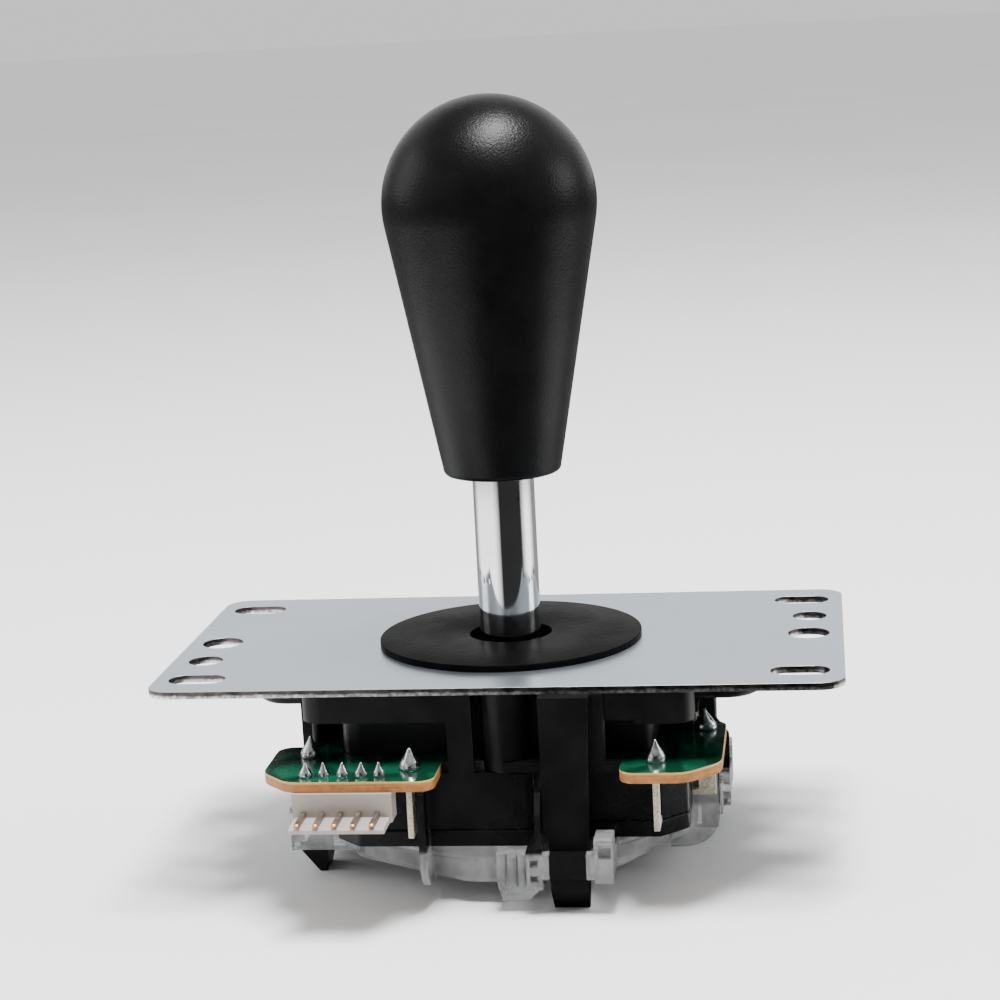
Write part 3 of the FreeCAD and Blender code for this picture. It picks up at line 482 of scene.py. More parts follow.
def add_bump(material, shader, height, depth, strength=1.0):
    """Feeds a height to the shader's normal; depth is in metres."""
    tree = material.node_tree
    bump = tree.nodes.new("ShaderNodeBump")
    bump.inputs["Distance"].default_value = depth
    bump.inputs["Strength"].default_value = strength
    tree.links.new(height, bump.inputs["Height"])
    tree.links.new(bump.outputs["Normal"], shader.inputs["Normal"])


def rgba(colour, factor=1.0):
    return tuple(min(1.0, channel * factor) for channel in colour) + (1.0,)


def grey(value):
    return rgba((value, value, value))


def add_tone(material, scale, dark, light):
    """A colour that drifts between two tones, as a socket."""
    return group_node(material, "tone", Scale=scale, Dark=dark, Light=light).outputs["Color"]


def add_polish(material, shader, scale, lowest, highest):
    """Lets the shader's roughness vary between two values."""
    polish = group_node(material, "polish", Scale=scale, Lowest=lowest, Highest=highest)
    material.node_tree.links.new(polish.outputs["Roughness"], shader.inputs["Roughness"])


def plastic(name, colour, roughness, grain_scale, grain_depth, lift=1.8, ior=1.45, coarse=0.4):
    """Moulded plastic: fine grain, uneven polish and a slight drift of tone."""
    material, shader = plain_material(name)
    tree = material.node_tree
    tone = add_tone(material, 160.0, rgba(colour), rgba(colour, lift))
    dust = group_node(material, "speck", Scale=700.0, Size=0.10, Share=0.06)
    dusty = tuple(channel * 0.5 + 0.02 for channel in colour)
    shade = mixed_colour(tree, dust.outputs["Mask"], tone, rgba(dusty))
    tree.links.new(shade, shader.inputs["Base Color"])
    add_polish(material, shader, 110.0, *roughness)
    grain = group_node(material, "grain", Scale=grain_scale, Coarse_share=coarse)
    add_bump(material, shader, grain.outputs["Height"], grain_depth)
    shader.inputs["IOR"].default_value = ior
    return material


def metal(name, dark, light, roughness, stretch, share, depth):
    """Plated or drawn metal with hairlines along one direction."""
    material, shader = plain_material(name)
    tree = material.node_tree
    shader.inputs["Metallic"].default_value = 1.0
    tone = add_tone(material, 60.0, rgba(dark), rgba(light))
    lines = group_node(material, "scratch", Stretch=stretch, Share=share)
    wear = arithmetic(tree, "MULTIPLY", lines.outputs["Mask"], 0.35)
    worn = mixed_colour(tree, wear, tone, rgba(dark, 0.75))
    tree.links.new(worn, shader.inputs["Base Color"])
    add_polish(material, shader, 70.0, *roughness)
    add_bump(material, shader, lines.outputs["Mask"], depth, 0.6)
    return material


def cut_edge_material(plate):
    """Sheared sheet edge: burnished dark above, torn and bright below."""
    material, shader = plain_material("cut_steel")
    tree = material.node_tree
    shader.inputs["Metallic"].default_value = 1.0
    place = axes_of(tree, object_coordinates(material))
    low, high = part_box("mounting_plate")
    ragged = group_node(material, "grain", Scale=700.0, Coarse_share=0.8)
    lifted = arithmetic(tree, "MULTIPLY", ragged.outputs["Height"], 0.5 * MM)
    level = arithmetic(tree, "ADD", place["Z"], lifted)
    thickness = high.z - low.z
    above = spread(tree, level, low.z + BURNISHED_FROM * thickness, low.z + thickness)
    dark = add_tone(material, 500.0, (0.045, 0.038, 0.038, 1.0), (0.15, 0.125, 0.12, 1.0))
    bright = add_tone(material, 1500.0, rgba(plate, 0.40), (0.86, 0.84, 0.85, 1.0))
    colour = mixed_colour(tree, above, bright, dark)
    tree.links.new(colour, shader.inputs["Base Color"])
    add_polish(material, shader, 500.0, 0.25, 0.5)
    tears = group_node(material, "scratch", Stretch=(1400.0, 1400.0, 160.0), Share=0.45)
    add_bump(material, shader, tears.outputs["Mask"], 0.03 * MM)
    return material


def chrome_material():
    """Bright plating with a few specks."""
    material, shader = plain_material("chrome_plating")
    tree = material.node_tree
    shader.inputs["Metallic"].default_value = 1.0
    tone = add_tone(material, 200.0, (0.70, 0.70, 0.72, 1.0), (0.80, 0.80, 0.81, 1.0))
    specks = group_node(material, "speck", Scale=420.0, Size=0.16, Share=0.10)
    colour = mixed_colour(tree, specks.outputs["Mask"], tone, (0.22, 0.20, 0.19, 1.0))
    tree.links.new(colour, shader.inputs["Base Color"])
    add_polish(material, shader, 150.0, 0.04, 0.10)
    ripple = group_node(material, "grain", Scale=400.0, Coarse_share=0.8)
    add_bump(material, shader, ripple.outputs["Height"], 0.002 * MM, 0.5)
    return material


def mask_material(colour):
    """Green solder mask: paler and slightly raised in patches, where copper lies below."""
    material, shader = plain_material("solder_mask")
    tree = material.node_tree
    cells = tree.nodes.new("ShaderNodeTexVoronoi")
    cells.feature = "DISTANCE_TO_EDGE"
    cells.inputs["Scale"].default_value = 130.0
    tree.links.new(object_coordinates(material), cells.inputs["Vector"])
    copper = spread(tree, cells.outputs["Distance"], 0.10, 0.16)
    tone = add_tone(material, 300.0, rgba(colour, 0.75), rgba(colour, 1.2))
    shade = mixed_colour(tree, copper, rgba(colour, 0.45), tone)
    tree.links.new(shade, shader.inputs["Base Color"])
    add_polish(material, shader, 240.0, 0.12, 0.24)
    add_bump(material, shader, copper, 0.03 * MM, 0.5)
    shader.inputs["Coat Weight"].default_value = 0.6
    shader.inputs["Coat Roughness"].default_value = 0.1
    return material


def laminate_material(name, colour, layers, shade_painted_inside):
    """Paper laminate in thin layers, with shade painted darker where it is set back in shadow under
    the deck.
    """
    material, shader = plain_material(name)
    tree = material.node_tree
    bands = group_node(material, "scratch", Stretch=(220.0, 220.0, layers), Share=0.45)
    tone = add_tone(material, 900.0, rgba(colour, 0.55), rgba(colour, 1.25))
    pale = mixed_colour(tree, bands.outputs["Mask"], tone, rgba(colour, 1.5))
    place = axes_of(tree, object_coordinates(material))
    sides = [arithmetic(tree, "ABSOLUTE", place[axis]) for axis in ("X", "Y")]
    reach = arithmetic(tree, "MAXIMUM", *sides)
    painted_shade = spread(tree, reach, shade_painted_inside + PAINTED_SHADE_FADE, shade_painted_inside)
    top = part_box("circuit_board")[1].z
    rim = spread(tree, place["Z"], top - RIM_DEPTHS[0], top - RIM_DEPTHS[1])
    rimmed = mixed_colour(tree, rim, pale, (0.40, 0.42, 0.15, 1.0))
    # Painted shade: the laminate is darkened where it lies in shadow under the deck
    shade = mixed_colour(tree, painted_shade, rimmed, rgba(colour, 0.05))
    tree.links.new(shade, shader.inputs["Base Color"])
    add_polish(material, shader, 400.0, 0.5, 0.75)
    fibres = group_node(material, "grain", Scale=1600.0, Coarse_share=0.9)
    add_bump(material, shader, fibres.outputs["Height"], 0.06 * MM)
    return material


def clear_material(colour):
    """Clear plastic with a milky haze, with dark painted into its colour where a snap leg or a case
    stands close behind, in place of the black pieces seen through it.
    """
    material, shader = plain_material("clear_moulding")
    tree = material.node_tree
    shader.inputs["Transmission Weight"].default_value = 0.76
    shader.inputs["IOR"].default_value = 1.35
    place = axes_of(tree, object_coordinates(material))
    above = spread(tree, place["Z"], *PAINTED_DARK_HEIGHTS)
    painted_dark_arms = over_span(tree, place, ARM_SPAN, ARM_OUTWARDS)
    for span in (ARM_SIDE_SPAN, STRIP_SPAN):
        painted_dark_arms = arithmetic(tree, "MAXIMUM", painted_dark_arms, over_span(tree, place, span, INNER_OUTWARDS))
    painted_dark_arms = arithmetic(tree, "MULTIPLY", painted_dark_arms, above)
    painted_dark_legs = over_span(tree, place, LEG_SPAN, LEG_OUTWARDS)
    painted_dark_behind = arithmetic(tree, "MAXIMUM", painted_dark_arms, painted_dark_legs)
    tone = add_tone(material, 420.0, rgba(colour, 0.62), rgba(colour))
    # Painted dark: the black pieces seen through the clear plastic are painted into its colour
    shade = mixed_colour(tree, painted_dark_behind, tone, rgba(colour, 0.03))
    tree.links.new(shade, shader.inputs["Base Color"])
    add_polish(material, shader, 140.0, 0.03, 0.12)
    flow = group_node(material, "grain", Scale=260.0, Coarse_share=1.2)
    add_bump(material, shader, flow.outputs["Height"], 0.02 * MM, 0.5)
    return material


def over_span(tree, place, span, outwards):
    """Marks a span of the gate's outer side on all four sides, as a quarter turn repeats it."""
    marks = []
    for along, out, turn in (("X", "Y", -1.0), ("Y", "X", 1.0)):
        side = place[out]
        far_out = arithmetic(tree, "GREATER_THAN", arithmetic(tree, "ABSOLUTE", side), outwards)
        turned = arithmetic(tree, "MULTIPLY", place[along], arithmetic(tree, "SIGN", side))
        turned = arithmetic(tree, "MULTIPLY", turned, turn)
        past_start = arithmetic(tree, "GREATER_THAN", turned, span[0])
        before_end = arithmetic(tree, "LESS_THAN", turned, span[1])
        inside = arithmetic(tree, "MULTIPLY", past_start, before_end)
        marks.append(arithmetic(tree, "MULTIPLY", far_out, inside))
    return arithmetic(tree, "MAXIMUM", *marks)


def solder_material():
    """Bright, slightly rippled solder."""
    material, shader = plain_material("bright_solder")
    tree = material.node_tree
    shader.inputs["Metallic"].default_value = 1.0
    tone = add_tone(material, 900.0, (0.52, 0.53, 0.54, 1.0), (0.86, 0.86, 0.87, 1.0))
    tree.links.new(tone, shader.inputs["Base Color"])
    add_polish(material, shader, 1200.0, 0.10, 0.26)
    ripple = group_node(material, "grain", Scale=1500.0, Coarse_share=0.7)
    add_bump(material, shader, ripple.outputs["Height"], 0.05 * MM)
    return material


def terminal_material():
    """Tinned brass blades with a coarse, sparkling tin coat."""
    material, shader = plain_material("tinned_brass")
    tree = material.node_tree
    shader.inputs["Metallic"].default_value = 0.5
    tone = add_tone(material, 2600.0, (0.56, 0.50, 0.37, 1.0), (0.92, 0.86, 0.70, 1.0))
    tree.links.new(tone, shader.inputs["Base Color"])
    add_polish(material, shader, 1800.0, 0.30, 0.60)
    coat = group_node(material, "grain", Scale=3000.0, Coarse_share=0.5)
    add_bump(material, shader, coat.outputs["Height"], 0.06 * MM)
    return material


def contact_material():
    """Grey header pins whose cut tips show copper."""
    material, shader = plain_material("header_contact")
    tree = material.node_tree
    shader.inputs["Metallic"].default_value = 1.0
    place = axes_of(tree, object_coordinates(material))
    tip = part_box("header_pins")[0].y
    bare = spread(tree, place["Y"], tip + BARE_TIP[0], tip + BARE_TIP[1])
    tone = add_tone(material, 700.0, (0.20, 0.16, 0.13, 1.0), (0.38, 0.32, 0.27, 1.0))
    colour = mixed_colour(tree, bare, tone, (0.72, 0.33, 0.14, 1.0))
    tree.links.new(colour, shader.inputs["Base Color"])
    add_polish(material, shader, 500.0, 0.35, 0.55)
    return material


def floor_material():
    """Pale matt floor, seen from above only.

    Mirrored in the object, it shows a painted reflection: bright nearby, dim far off and behind,
    and dark at the painted card.
    """
    material, shader = plain_material("studio_floor")
    tree = material.node_tree
    tone = add_tone(material, 3.0, grey(0.86), grey(0.89))
    direction = tree.nodes.new("ShaderNodeVectorMath")
    direction.operation = "NORMALIZE"
    tree.links.new(object_coordinates(material), direction.inputs[0])
    painted_card = painted_dark_card(tree, direction.outputs["Vector"])
    behind = spread(tree, axes_of(tree, direction.outputs["Vector"])["Y"], *FLOOR_BEHIND)
    distance = tree.nodes.new("ShaderNodeVectorMath")
    distance.operation = "LENGTH"
    tree.links.new(object_coordinates(material), distance.inputs[0])
    far = spread(tree, distance.outputs["Value"], *FLOOR_FADE)
    ringed = mixed_colour(tree, far, grey(PAINTED_REFLECTION_GREYS["near"]), grey(PAINTED_REFLECTION_GREYS["far"]))
    painted_dark_behind = mixed_colour(tree, behind, ringed, grey(PAINTED_REFLECTION_GREYS["behind"]))
    # Painted reflection: only mirrored rays see these greys and the painted dark card
    painted_reflection = mixed_colour(tree, painted_card, painted_dark_behind, grey(PAINTED_CARD_GREY))
    mirrored = tree.nodes.new("ShaderNodeLightPath").outputs["Is Glossy Ray"]
    shade = mixed_colour(tree, mirrored, tone, painted_reflection)
    tree.links.new(shade, shader.inputs["Base Color"])
    shader.inputs["Roughness"].default_value = 1.0
    shader.inputs["Specular IOR Level"].default_value = 0.0
    below = tree.nodes.new("ShaderNodeNewGeometry").outputs["Backfacing"]
    tree.links.new(arithmetic(tree, "SUBTRACT", 1.0, below), shader.inputs["Alpha"])
    return material


MATERIALS = {}


def make_materials(finish):
    """Builds every finish once, under the names that the pieces ask for."""
    GROUPS["grain"] = grain_group()
    GROUPS["tone"] = tone_group()
    GROUPS["polish"] = polish_group()
    GROUPS["scratch"] = scratch_group()
    GROUPS["speck"] = speck_group()
    handle = tuple(finish.handle_colour)
    body = tuple(finish.body_colour)
    plate = tuple(finish.plate_colour)
    laminate = tuple(finish.laminate_colour)
    under = tuple(0.6 * channel for channel in laminate)
    red = (0.60, 0.045, 0.03)
    natural = (0.74, 0.72, 0.66)
    header = (0.38, 0.335, 0.305)
    MATERIALS.update(
        handle=plastic("handle_plastic", handle, (0.28, 0.36), 3000.0, 0.050 * MM,
                       ior=1.22, coarse=0.3),
        washer=plastic("washer_plastic", handle, (0.30, 0.42), 1900.0, 0.050 * MM, ior=1.06),
        body=plastic("body_plastic", body, (0.30, 0.44), 3800.0, 0.012 * MM, ior=1.22),
        switch=plastic("switch_plastic", body, (0.24, 0.34), 4200.0, 0.008 * MM, ior=1.25),
        plunger=plastic("plunger_plastic", red, (0.25, 0.4), 4000.0, 0.006 * MM, 1.2),
        natural=plastic("natural_plastic", natural, (0.35, 0.5), 3000.0, 0.008 * MM, 1.08),
        header=plastic("header_plastic", header, (0.32, 0.45), 2600.0, 0.008 * MM, 1.06),
        plate=metal("plated_steel", tuple(0.96 * channel for channel in plate), plate, (0.30, 0.38),
                    (120.0, 120.0, 2600.0), 0.16, 0.003 * MM),
        cut_steel=cut_edge_material(plate),
        chrome=chrome_material(),
        spring=metal("spring_steel", (0.40, 0.40, 0.41), (0.55, 0.55, 0.56), (0.25, 0.4),
                     (300.0, 300.0, 2400.0), 0.35, 0.006 * MM),
        mask=mask_material(tuple(finish.mask_colour)),
        edge=laminate_material("board_edge", laminate, 5200.0, EDGE_SHADE_PAINTED_INSIDE),
        underside=laminate_material("board_underside", under, 300.0, UNDERSIDE_SHADE_PAINTED_INSIDE),
        solder=solder_material(),
        terminal=terminal_material(),
        contact=contact_material(),
        clear=clear_material(tuple(finish.clear_colour)),
        floor=floor_material(),
    )


# Modelling by hand: selection, outlines, lathe work and softened copies

def deselect_all():
    bpy.ops.object.select_all(action="DESELECT")


def make_active(piece):
    deselect_all()
    piece.select_set(True)
    bpy.context.view_layer.objects.active = piece


def start_vertex(name, x, y, z):
    """A piece that is one vertex in edit mode, ready to be extruded."""
    deselect_all()
    bpy.ops.mesh.primitive_plane_add(size=MM, location=(0, 0, 0))
    piece = bpy.context.active_object
    piece.name = name
    piece.data.name = name
    bpy.ops.object.mode_set(mode="EDIT")
    bpy.ops.mesh.merge(type="CENTER")
    bpy.ops.transform.translate(value=(x, y, z))
    return piece


def extrude_by(x, y, z):
    bpy.ops.mesh.extrude_region_move(TRANSFORM_OT_translate={"value": (x, y, z)})


def apply_modifiers(piece):
    make_active(piece)
    for modifier in list(piece.modifiers):
        bpy.ops.object.modifier_apply(modifier=modifier.name)


def add_bevel(piece, width, segments):
    modifier = piece.modifiers.new("Soft edges", "BEVEL")
    modifier.width = width
    modifier.segments = segments
    modifier.limit_method = "ANGLE"
    modifier.angle_limit = math.radians(BEVEL_ANGLE)
    modifier.use_clamp_overlap = True
    modifier.miter_outer = "MITER_ARC"


def smooth(piece, angle=32.0):
    make_active(piece)
    bpy.ops.object.shade_smooth_by_angle(angle=math.radians(angle))


def lathe(name, outline, steps):
    """Spins an outline of (radius, height) points about the lever's axis."""
    radius, height = outline[0]
    piece = start_vertex(name, radius, 0.0, height)
    for next_radius, next_height in outline[1:]:
        extrude_by(next_radius - radius, 0.0, next_height - height)
        radius, height = next_radius, next_height
    bpy.ops.mesh.select_all(action="SELECT")
    bpy.ops.mesh.spin(steps=steps, angle=2 * math.pi, center=(0, 0, 0), axis=(0, 0, 1))
    bpy.ops.mesh.select_all(action="SELECT")
    bpy.ops.mesh.remove_doubles(threshold=0.002 * MM)
    bpy.ops.mesh.normals_make_consistent(inside=False)
    bpy.ops.object.mode_set(mode="OBJECT")
    return piece


def arc_points(centre_r, centre_z, radius, start, end, count):
    """Points of an arc in the outline's plane, angles in degrees from straight out."""
    points = []
    for index in range(count + 1):
        angle = math.radians(start + (end - start) * index / count)
        points.append((centre_r + radius * math.cos(angle), centre_z + radius * math.sin(angle)))
    return points


def finish_piece(piece, body, node_names, material):
    """Gives a piece its finish, its body and the nodes that it stands for."""
    piece.data.materials.clear()
    piece.data.materials.append(MATERIALS[material])
    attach(piece, body)
    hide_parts(*node_names)


def copied_node(node, name):
    """A merged copy of a node's mesh, free of its body, for softening its edges."""
    make_active(NODES[node])
    bpy.ops.object.duplicate()
    piece = bpy.context.active_object
    bpy.ops.object.parent_clear(type="CLEAR_KEEP_TRANSFORM")
    for key in list(piece.keys()):
        del piece[key]
    piece.name = name
    piece.data.name = name
    bpy.ops.object.mode_set(mode="EDIT")
    bpy.ops.mesh.select_all(action="SELECT")
    bpy.ops.mesh.remove_doubles(threshold=0.001 * MM)
    bpy.ops.mesh.dissolve_limited(angle_limit=math.radians(0.6), use_dissolve_boundaries=False)
    bpy.ops.object.mode_set(mode="OBJECT")
    return piece


def keep_faces_flat(piece):
    """Shades large faces flat, so that only their rounded edges catch the light."""
    modifier = piece.modifiers.new("Flat faces", "WEIGHTED_NORMAL")
    modifier.keep_sharp = True
    apply_modifiers(piece)


def softened(node, name, width, segments=2):
    """A copy of a node with rounded edges and flat faces."""
    piece = copied_node(node, name)
    add_bevel(piece, width, segments)
    apply_modifiers(piece)
    smooth(piece)
    keep_faces_flat(piece)
    return piece


def assign_by_facing(piece, materials, choose):
    """Gives each face the material that its direction and place ask for."""
    piece.data.materials.clear()
    for material in materials:
        piece.data.materials.append(MATERIALS[material])
    for face in piece.data.polygons:
        face.material_index = choose(face)


# Pieces

class LEVER_OT_handle(bpy.types.Operator):
    """Turn the moulded bat handle"""
    bl_idname = "lever.handle"
    bl_label = "Handle"

    def execute(self, context):
        shape = context.scene.lever_shape
        low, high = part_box("bat_top")
        radius = (high.x - low.x) / 2
        centre_z = high.z - radius
        cone_angle = 10.2
        tangent = math.radians(-cone_angle)
        tangent_r = radius * math.cos(tangent)
        tangent_z = centre_z + radius * math.sin(tangent)
        foot_r = tangent_r - (tangent_z - low.z) * math.tan(math.radians(cone_angle))
        rounding = 0.9 * MM
        shaft_clearance = 0.5 * MM
        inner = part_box("shaft")[1].x + shaft_clearance
        recess = 0.6 * MM
        almost_up = 89.5
        outline = [(inner, low.z + recess), (inner, low.z)]
        outline += arc_points(foot_r - rounding, low.z + rounding, rounding, -90, -cone_angle, 6)
        outline += arc_points(0.0, centre_z, radius, -cone_angle, almost_up, 40)
        outline += [(0.0, high.z), (0.0, low.z + recess)]
        piece = lathe("bat_handle", outline, shape.turned_steps)
        smooth(piece, 40.0)
        finish_piece(piece, "lever", ["bat_top"], "handle")
        return {"FINISHED"}


class LEVER_OT_shaft(bpy.types.Operator):
    """Turn the plated shaft with its groove and chamfers"""
    bl_idname = "lever.shaft"
    bl_label = "Shaft"

    def execute(self, context):
        shape = context.scene.lever_shape
        piece = softened("shaft", "plated_shaft", shape.metal_edge)
        finish_piece(piece, "lever", ["shaft"], "chrome")
        clip = softened("retaining_clip", "shaft_clip", EDGES["clip"])
        finish_piece(clip, "lever", ["retaining_clip"], "spring")
        return {"FINISHED"}


class LEVER_OT_washer(bpy.types.Operator):
    """Turn the dust washer with rounded rims"""
    bl_idname = "lever.washer"
    bl_label = "Dust washer"

    def execute(self, context):
        shape = context.scene.lever_shape
        low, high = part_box("dust_washer")
        hole = 5.9 * MM
        outline = [(hole, low.z), (high.x, low.z), (high.x, high.z), (hole, high.z), (hole, low.z)]
        piece = lathe("dust_washer_disc", outline, shape.turned_steps)
        add_bevel(piece, EDGES["washer"], 3)
        apply_modifiers(piece)
        smooth(piece)
        finish_piece(piece, "base", ["dust_washer"], "washer")
        return {"FINISHED"}


class LEVER_OT_plate(bpy.types.Operator):
    """Soften the pressed plate and part its faces from its cut edges"""
    bl_idname = "lever.plate"
    bl_label = "Mounting plate"

    def execute(self, context):
        shape = context.scene.lever_shape
        piece = softened("mounting_plate", "pressed_plate", shape.metal_edge, 3)
        screws = softened("plate_screws", "countersunk_screws", EDGES["screws"])
        finish_piece(piece, "base", ["mounting_plate"], "plate")
        assign_by_facing(piece, ["plate", "cut_steel"], self.side_of)
        finish_piece(screws, "base", ["plate_screws"], "chrome")
        return {"FINISHED"}

    @staticmethod
    def side_of(face):
        return 0 if abs(face.normal.z) > 0.5 else 1


class LEVER_OT_body(bpy.types.Operator):
    """Soften the moulded body"""
    bl_idname = "lever.body"
    bl_label = "Body"

    def execute(self, context):
        shape = context.scene.lever_shape
        piece = softened("base_body", "moulded_body", shape.moulded_edge, 3)
        finish_piece(piece, "base", ["base_body"], "body")
        return {"FINISHED"}


class LEVER_OT_seat(bpy.types.Operator):
    """Soften the ball, the spring collar and the actuator, and wind the coil"""
    bl_idname = "lever.seat"
    bl_label = "Ball, coil and actuator"

    def execute(self, context):
        names = {"pivot_ball": "ball", "spring_collar": "collar", "actuator": "cup_actuator"}
        for node, name in names.items():
            piece = softened(node, name, EDGES["seat"])
            finish_piece(piece, "rocker", [node], "natural")
        coil = self.coil()
        finish_piece(coil, "rocker", ["centring_spring"], "spring")
        return {"FINISHED"}

    def coil(self):
        """A wire circle carried up a helix by the Screw modifier."""
        low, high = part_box("centring_spring")
        wire = 0.45 * MM
        turns = 5.5
        steps = 200
        radius = (high.x - low.x) / 2 - wire
        rise = (high.z - low.z - 2 * wire) / turns
        deselect_all()
        bpy.ops.mesh.primitive_circle_add(
            vertices=16, radius=wire, fill_type="NOTHING",
            location=(radius, 0, low.z + wire), rotation=(math.pi / 2, 0, 0),
        )
        piece = bpy.context.active_object
        piece.name = "coil_wire"
        bpy.ops.object.transform_apply(location=True, rotation=True, scale=True)
        screw = piece.modifiers.new("Winding", "SCREW")
        screw.axis = "Z"
        screw.angle = 2 * math.pi * turns
        screw.screw_offset = rise * turns
        screw.steps = steps
        screw.render_steps = steps
        screw.use_smooth_shade = True
        apply_modifiers(piece)
        make_active(piece)
        bpy.ops.object.mode_set(mode="EDIT")
        bpy.ops.mesh.select_all(action="DESELECT")
        bpy.ops.mesh.select_mode(type="EDGE")
        bpy.ops.mesh.select_non_manifold()
        bpy.ops.mesh.edge_face_add()
        bpy.ops.mesh.select_mode(type="VERT")
        bpy.ops.mesh.select_all(action="SELECT")
        bpy.ops.mesh.normals_make_consistent(inside=False)
        bpy.ops.object.mode_set(mode="OBJECT")
        smooth(piece, 50.0)
        return piece


class LEVER_OT_board(bpy.types.Operator):
    """Part the board into mask, cut edge and underside"""
    bl_idname = "lever.board"
    bl_label = "Circuit board"

    def execute(self, context):
        piece = softened("circuit_board", "board_panel", EDGES["board"])
        finish_piece(piece, "base", ["circuit_board"], "mask")
        assign_by_facing(piece, ["mask", "edge", "underside"], self.side_of)
        return {"FINISHED"}

    @staticmethod
    def side_of(face):
        if face.normal.z > 0.5:
            return 0
        return 2 if face.normal.z < -0.5 else 1


class LEVER_OT_solder(bpy.types.Operator):
    """Draw each solder joint up its pin as a full drop"""
    bl_idname = "lever.solder"
    bl_label = "Solder joints"
    # Share of the height, and the width there as a share of the foot's
    drop = (
        (0.0, 0.92), (0.06, 0.98), (0.16, 1.0), (0.28, 0.96), (0.42, 0.80),
        (0.56, 0.60), (0.70, 0.41), (0.82, 0.27), (0.93, 0.17), (0.985, 0.10),
    )

    def execute(self, context):
        spread_share = context.scene.lever_shape.solder_spread
        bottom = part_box("solder_joints")[0].z
        pieces = []
        for index, (x, y, radius, height) in enumerate(solder_places()):
            wobble = 1.0 + spread_share * math.sin(2.4 * index + 0.7)
            lean = 0.12 * math.sin(1.7 * index)
            pieces.append(self.joint(index, x, y, radius, height, wobble, lean, bottom))
        deselect_all()
        for piece in pieces:
            piece.select_set(True)
        bpy.context.view_layer.objects.active = pieces[0]
        bpy.ops.object.join()
        joined = bpy.context.active_object
        joined.name = "solder_fillets"
        smooth(joined, 80.0)
        finish_piece(joined, "base", ["solder_joints"], "solder")
        return {"FINISHED"}

    def joint(self, index, x, y, radius, height, wobble, lean, bottom):
        """A full drop drawn up to a blunt tip, uneven round about."""
        foot = radius * wobble
        outline = [(0.0, bottom)]
        for share, width in self.drop:
            outline.append((foot * width, bottom + height * share))
        outline.append((0.0, bottom + height))
        piece = lathe("joint_" + str(index), outline, JOINT_STEPS)
        for vertex in piece.data.vertices:
            share = (vertex.co.z - bottom) / height
            around = math.atan2(vertex.co.y, vertex.co.x)
            swell = 1.0 + 0.06 * math.sin(3 * around + index) * (1.0 - share)
            vertex.co.x = vertex.co.x * swell + x + lean * share * radius
            vertex.co.y = vertex.co.y * swell + y
        return piece


def solder_places():
    """The joints' x, y, radius and height, found from the tips of the solder node's cones."""
    points = [vertex.co for vertex in NODES["solder_joints"].data.vertices]
    bottom = min(point.z for point in points)
    tips = []
    for point in points:
        height = point.z - bottom
        if height < TIP_HEIGHT:
            continue
        if all(math.hypot(point.x - x, point.y - y) > TIP_SPACING for x, y, size in tips):
            tips.append((point.x, point.y, height))
    places = []
    for x, y, height in tips:
        ring = [
            point for point in points
            if math.hypot(point.x - x, point.y - y) < TIP_SPACING and point.z - bottom > TIP_HEIGHT
        ]
        middle_x = (min(point.x for point in ring) + max(point.x for point in ring)) / 2
        middle_y = (min(point.y for point in ring) + max(point.y for point in ring)) / 2
        radius = TALL_JOINT_RADIUS if height > TALL_JOINT else LOW_JOINT_RADIUS
        places.append((middle_x, middle_y, radius, height))
    return places


class LEVER_OT_header(bpy.types.Operator):
    """Soften the header's housing and pins"""
    bl_idname = "lever.header"
    bl_label = "Header"

    def execute(self, context):
        housing = softened("header_housing", "header_block", EDGES["header"])
        finish_piece(housing, "base", ["header_housing"], "header")
        pins = softened("header_pins", "header_contacts", EDGES["pins"])
        finish_piece(pins, "base", ["header_pins"], "contact")
        return {"FINISHED"}


class LEVER_OT_switches(bpy.types.Operator):
    """Soften the four switches with their plungers, levers and terminals"""
    bl_idname = "lever.switches"
    bl_label = "Switches"

    # Node, piece, rounding (the fine edge where none is named), finish and slot
    parts = (
        ("switch_case_", "case_", None, "switch", "switch_plastic"),
        ("switch_cover_", "cover_", None, "switch", "switch_plastic"),
        ("switch_plunger_", "plunger_", "plunger", "plunger", "plunger_plastic"),
        ("lever_strip_", "strip_", "strip", "spring", "spring_steel"),
        ("switch_terminals_", "terminals_", "blades", "terminal", "tinned_brass"),
    )

    def execute(self, context):
        fine_edge = context.scene.lever_shape.fine_edge
        for side in SIDES:
            for node, name, edge, material, slot in self.parts:
                piece = softened(node + side, name + side, EDGES.get(edge, fine_edge))
                body = name + side if name == "plunger_" else "base"
                finish_piece(piece, body, [node + side], material)
                if name == "strip_":
                    self.let_give(piece, side)
        return {"FINISHED"}

    @staticmethod
    def let_give(strip, side):
        """Gives the sprung strip a mesh of its own."""
        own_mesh(strip)


class LEVER_OT_gate(bpy.types.Operator):
    """Soften the clear restrictor gate"""
    bl_idname = "lever.gate"
    bl_label = "Restrictor gate"

    def execute(self, context):
        shape = context.scene.lever_shape
        piece = softened("restrictor_gate", "clear_gate", shape.fine_edge)
        finish_piece(piece, "base", ["restrictor_gate"], "clear")
        return {"FINISHED"}


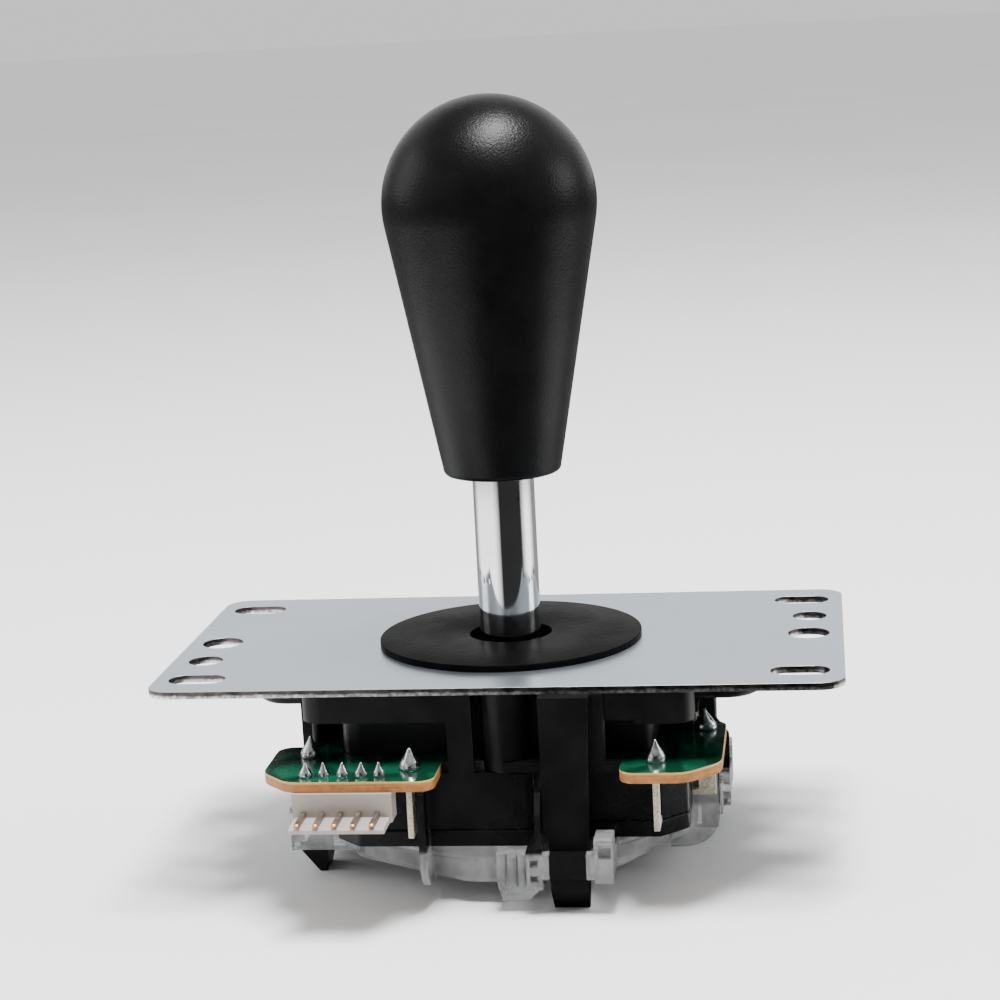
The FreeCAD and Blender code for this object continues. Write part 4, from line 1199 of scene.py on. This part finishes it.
class LEVER_OT_studio(bpy.types.Operator):
    """Set the floor, the soft lights and the camera"""
    bl_idname = "lever.studio"
    bl_label = "Studio"
    # Name, place and size in metres, and power in watts
    softboxes = (
        ("top_softbox", (0.09, -0.05, 0.80), (0.40, 0.22), 18.0),
        ("left_softbox", (-0.85, 0.10, 0.35), (0.50, 0.50), 2.0),
        ("right_softbox", (0.80, 0.15, 0.30), (0.30, 0.30), 2.0),
    )

    def execute(self, context):
        studio = context.scene.lever_studio
        self.floor()
        self.surround(studio.surround)
        for name, place, size, power in self.softboxes:
            self.light(name, place, size, power)
        self.camera(studio)
        return {"FINISHED"}

    def floor(self):
        deselect_all()
        bottom = CAD_BOX[0].z
        bpy.ops.mesh.primitive_plane_add(size=FLOOR_SIZE, location=(0, 0, bottom - FLOOR_GAP))
        floor = bpy.context.active_object
        floor.name = "studio_floor"
        bpy.ops.object.transform_apply(location=True, rotation=True, scale=True)
        floor.data.materials.append(MATERIALS["floor"])

    def surround(self, strength):
        world = bpy.data.worlds.new("studio_surround")
        bpy.context.scene.world = world
        world.use_nodes = True
        tree = world.node_tree
        shade = tree.nodes["Background"]
        shade.inputs["Strength"].default_value = strength
        direction = tree.nodes.new("ShaderNodeTexCoord").outputs["Generated"]
        painted_card = painted_dark_card(tree, direction)
        painted_card_colour = (PAINTED_CARD_GREY, PAINTED_CARD_GREY, 0.013, 1.0)
        glow = mixed_colour(tree, painted_card, grey(SURROUND_GREYS["glow"]), painted_card_colour)
        parts = axes_of(tree, direction)
        sideways = spread(tree, arithmetic(tree, "ABSOLUTE", parts["X"]), *DIM_SIDEWAYS)
        low = spread(tree, parts["Z"], *DIM_LOW)
        high = spread(tree, parts["Z"], *DIM_HIGH)
        path = tree.nodes.new("ShaderNodeLightPath")
        dimmed = arithmetic(tree, "MAXIMUM", arithmetic(tree, "MULTIPLY", sideways, low), high)
        dimmed = arithmetic(tree, "MULTIPLY", dimmed, path.outputs["Is Glossy Ray"])
        mirrored = mixed_colour(tree, dimmed, glow, grey(SURROUND_GREYS["dimmed"]))
        seen = grey(SURROUND_GREYS["seen"])
        shown = mixed_colour(tree, path.outputs["Is Camera Ray"], mirrored, seen)
        tree.links.new(shown, shade.inputs["Color"])

    def light(self, name, place, size, power):
        deselect_all()
        aim = Vector(LIGHT_TARGET) - Vector(place)
        bpy.ops.object.light_add(
            type="AREA", location=place, rotation=aim.to_track_quat("-Z", "Y").to_euler()
        )
        lamp = bpy.context.active_object
        lamp.name = name
        lamp.data.shape = "RECTANGLE"
        lamp.data.size, lamp.data.size_y = size
        lamp.data.energy = power

    def camera(self, studio):
        deselect_all()
        turned = Euler((math.pi / 2 - studio.pitch, 0.0, studio.azimuth)).to_quaternion()
        rolled = Euler((0.0, 0.0, -studio.roll)).to_quaternion()
        bpy.ops.object.camera_add(
            location=tuple(studio.camera_place), rotation=(turned @ rolled).to_euler()
        )
        camera = bpy.context.active_object
        camera.name = "photo_camera"
        camera.data.lens = studio.lens
        camera.data.sensor_width = SENSOR_WIDTH
        camera.data.clip_start, camera.data.clip_end = CAMERA_CLIP
        bpy.context.scene.camera = camera


PIECES = (
    LEVER_OT_handle,
    LEVER_OT_shaft,
    LEVER_OT_washer,
    LEVER_OT_plate,
    LEVER_OT_body,
    LEVER_OT_seat,
    LEVER_OT_board,
    LEVER_OT_solder,
    LEVER_OT_header,
    LEVER_OT_switches,
    LEVER_OT_gate,
    LEVER_OT_studio,
)


class LEVER_PT_panel(bpy.types.Panel):
    bl_label = "Joystick lever"
    bl_idname = "LEVER_PT_panel"
    bl_space_type = "VIEW_3D"
    bl_region_type = "UI"
    bl_category = "Lever"

    def draw(self, context):
        layout = self.layout
        scene = context.scene
        for settings in (scene.lever_shape, scene.lever_finish, scene.lever_studio):
            column = layout.column()
            for name in settings.__annotations__:
                column.prop(settings, name)
        for piece in PIECES:
            layout.operator(piece.bl_idname)


SETTINGS = (LeverShapeSettings, LeverFinishSettings, LeverStudioSettings)


def register():
    for item in SETTINGS + PIECES + (LEVER_PT_panel,):
        bpy.utils.register_class(item)
    bpy.types.Scene.lever_shape = PointerProperty(type=LeverShapeSettings)
    bpy.types.Scene.lever_finish = PointerProperty(type=LeverFinishSettings)
    bpy.types.Scene.lever_studio = PointerProperty(type=LeverStudioSettings)


def unregister():
    del bpy.types.Scene.lever_shape
    del bpy.types.Scene.lever_finish
    del bpy.types.Scene.lever_studio
    for item in reversed(SETTINGS + PIECES + (LEVER_PT_panel,)):
        bpy.utils.unregister_class(item)


def main():
    register()
    make_materials(bpy.context.scene.lever_finish)
    for piece in PIECES:
        section, name = piece.bl_idname.split(".")
        getattr(getattr(bpy.ops, section), name)()


if __name__ == "__main__":
    main()
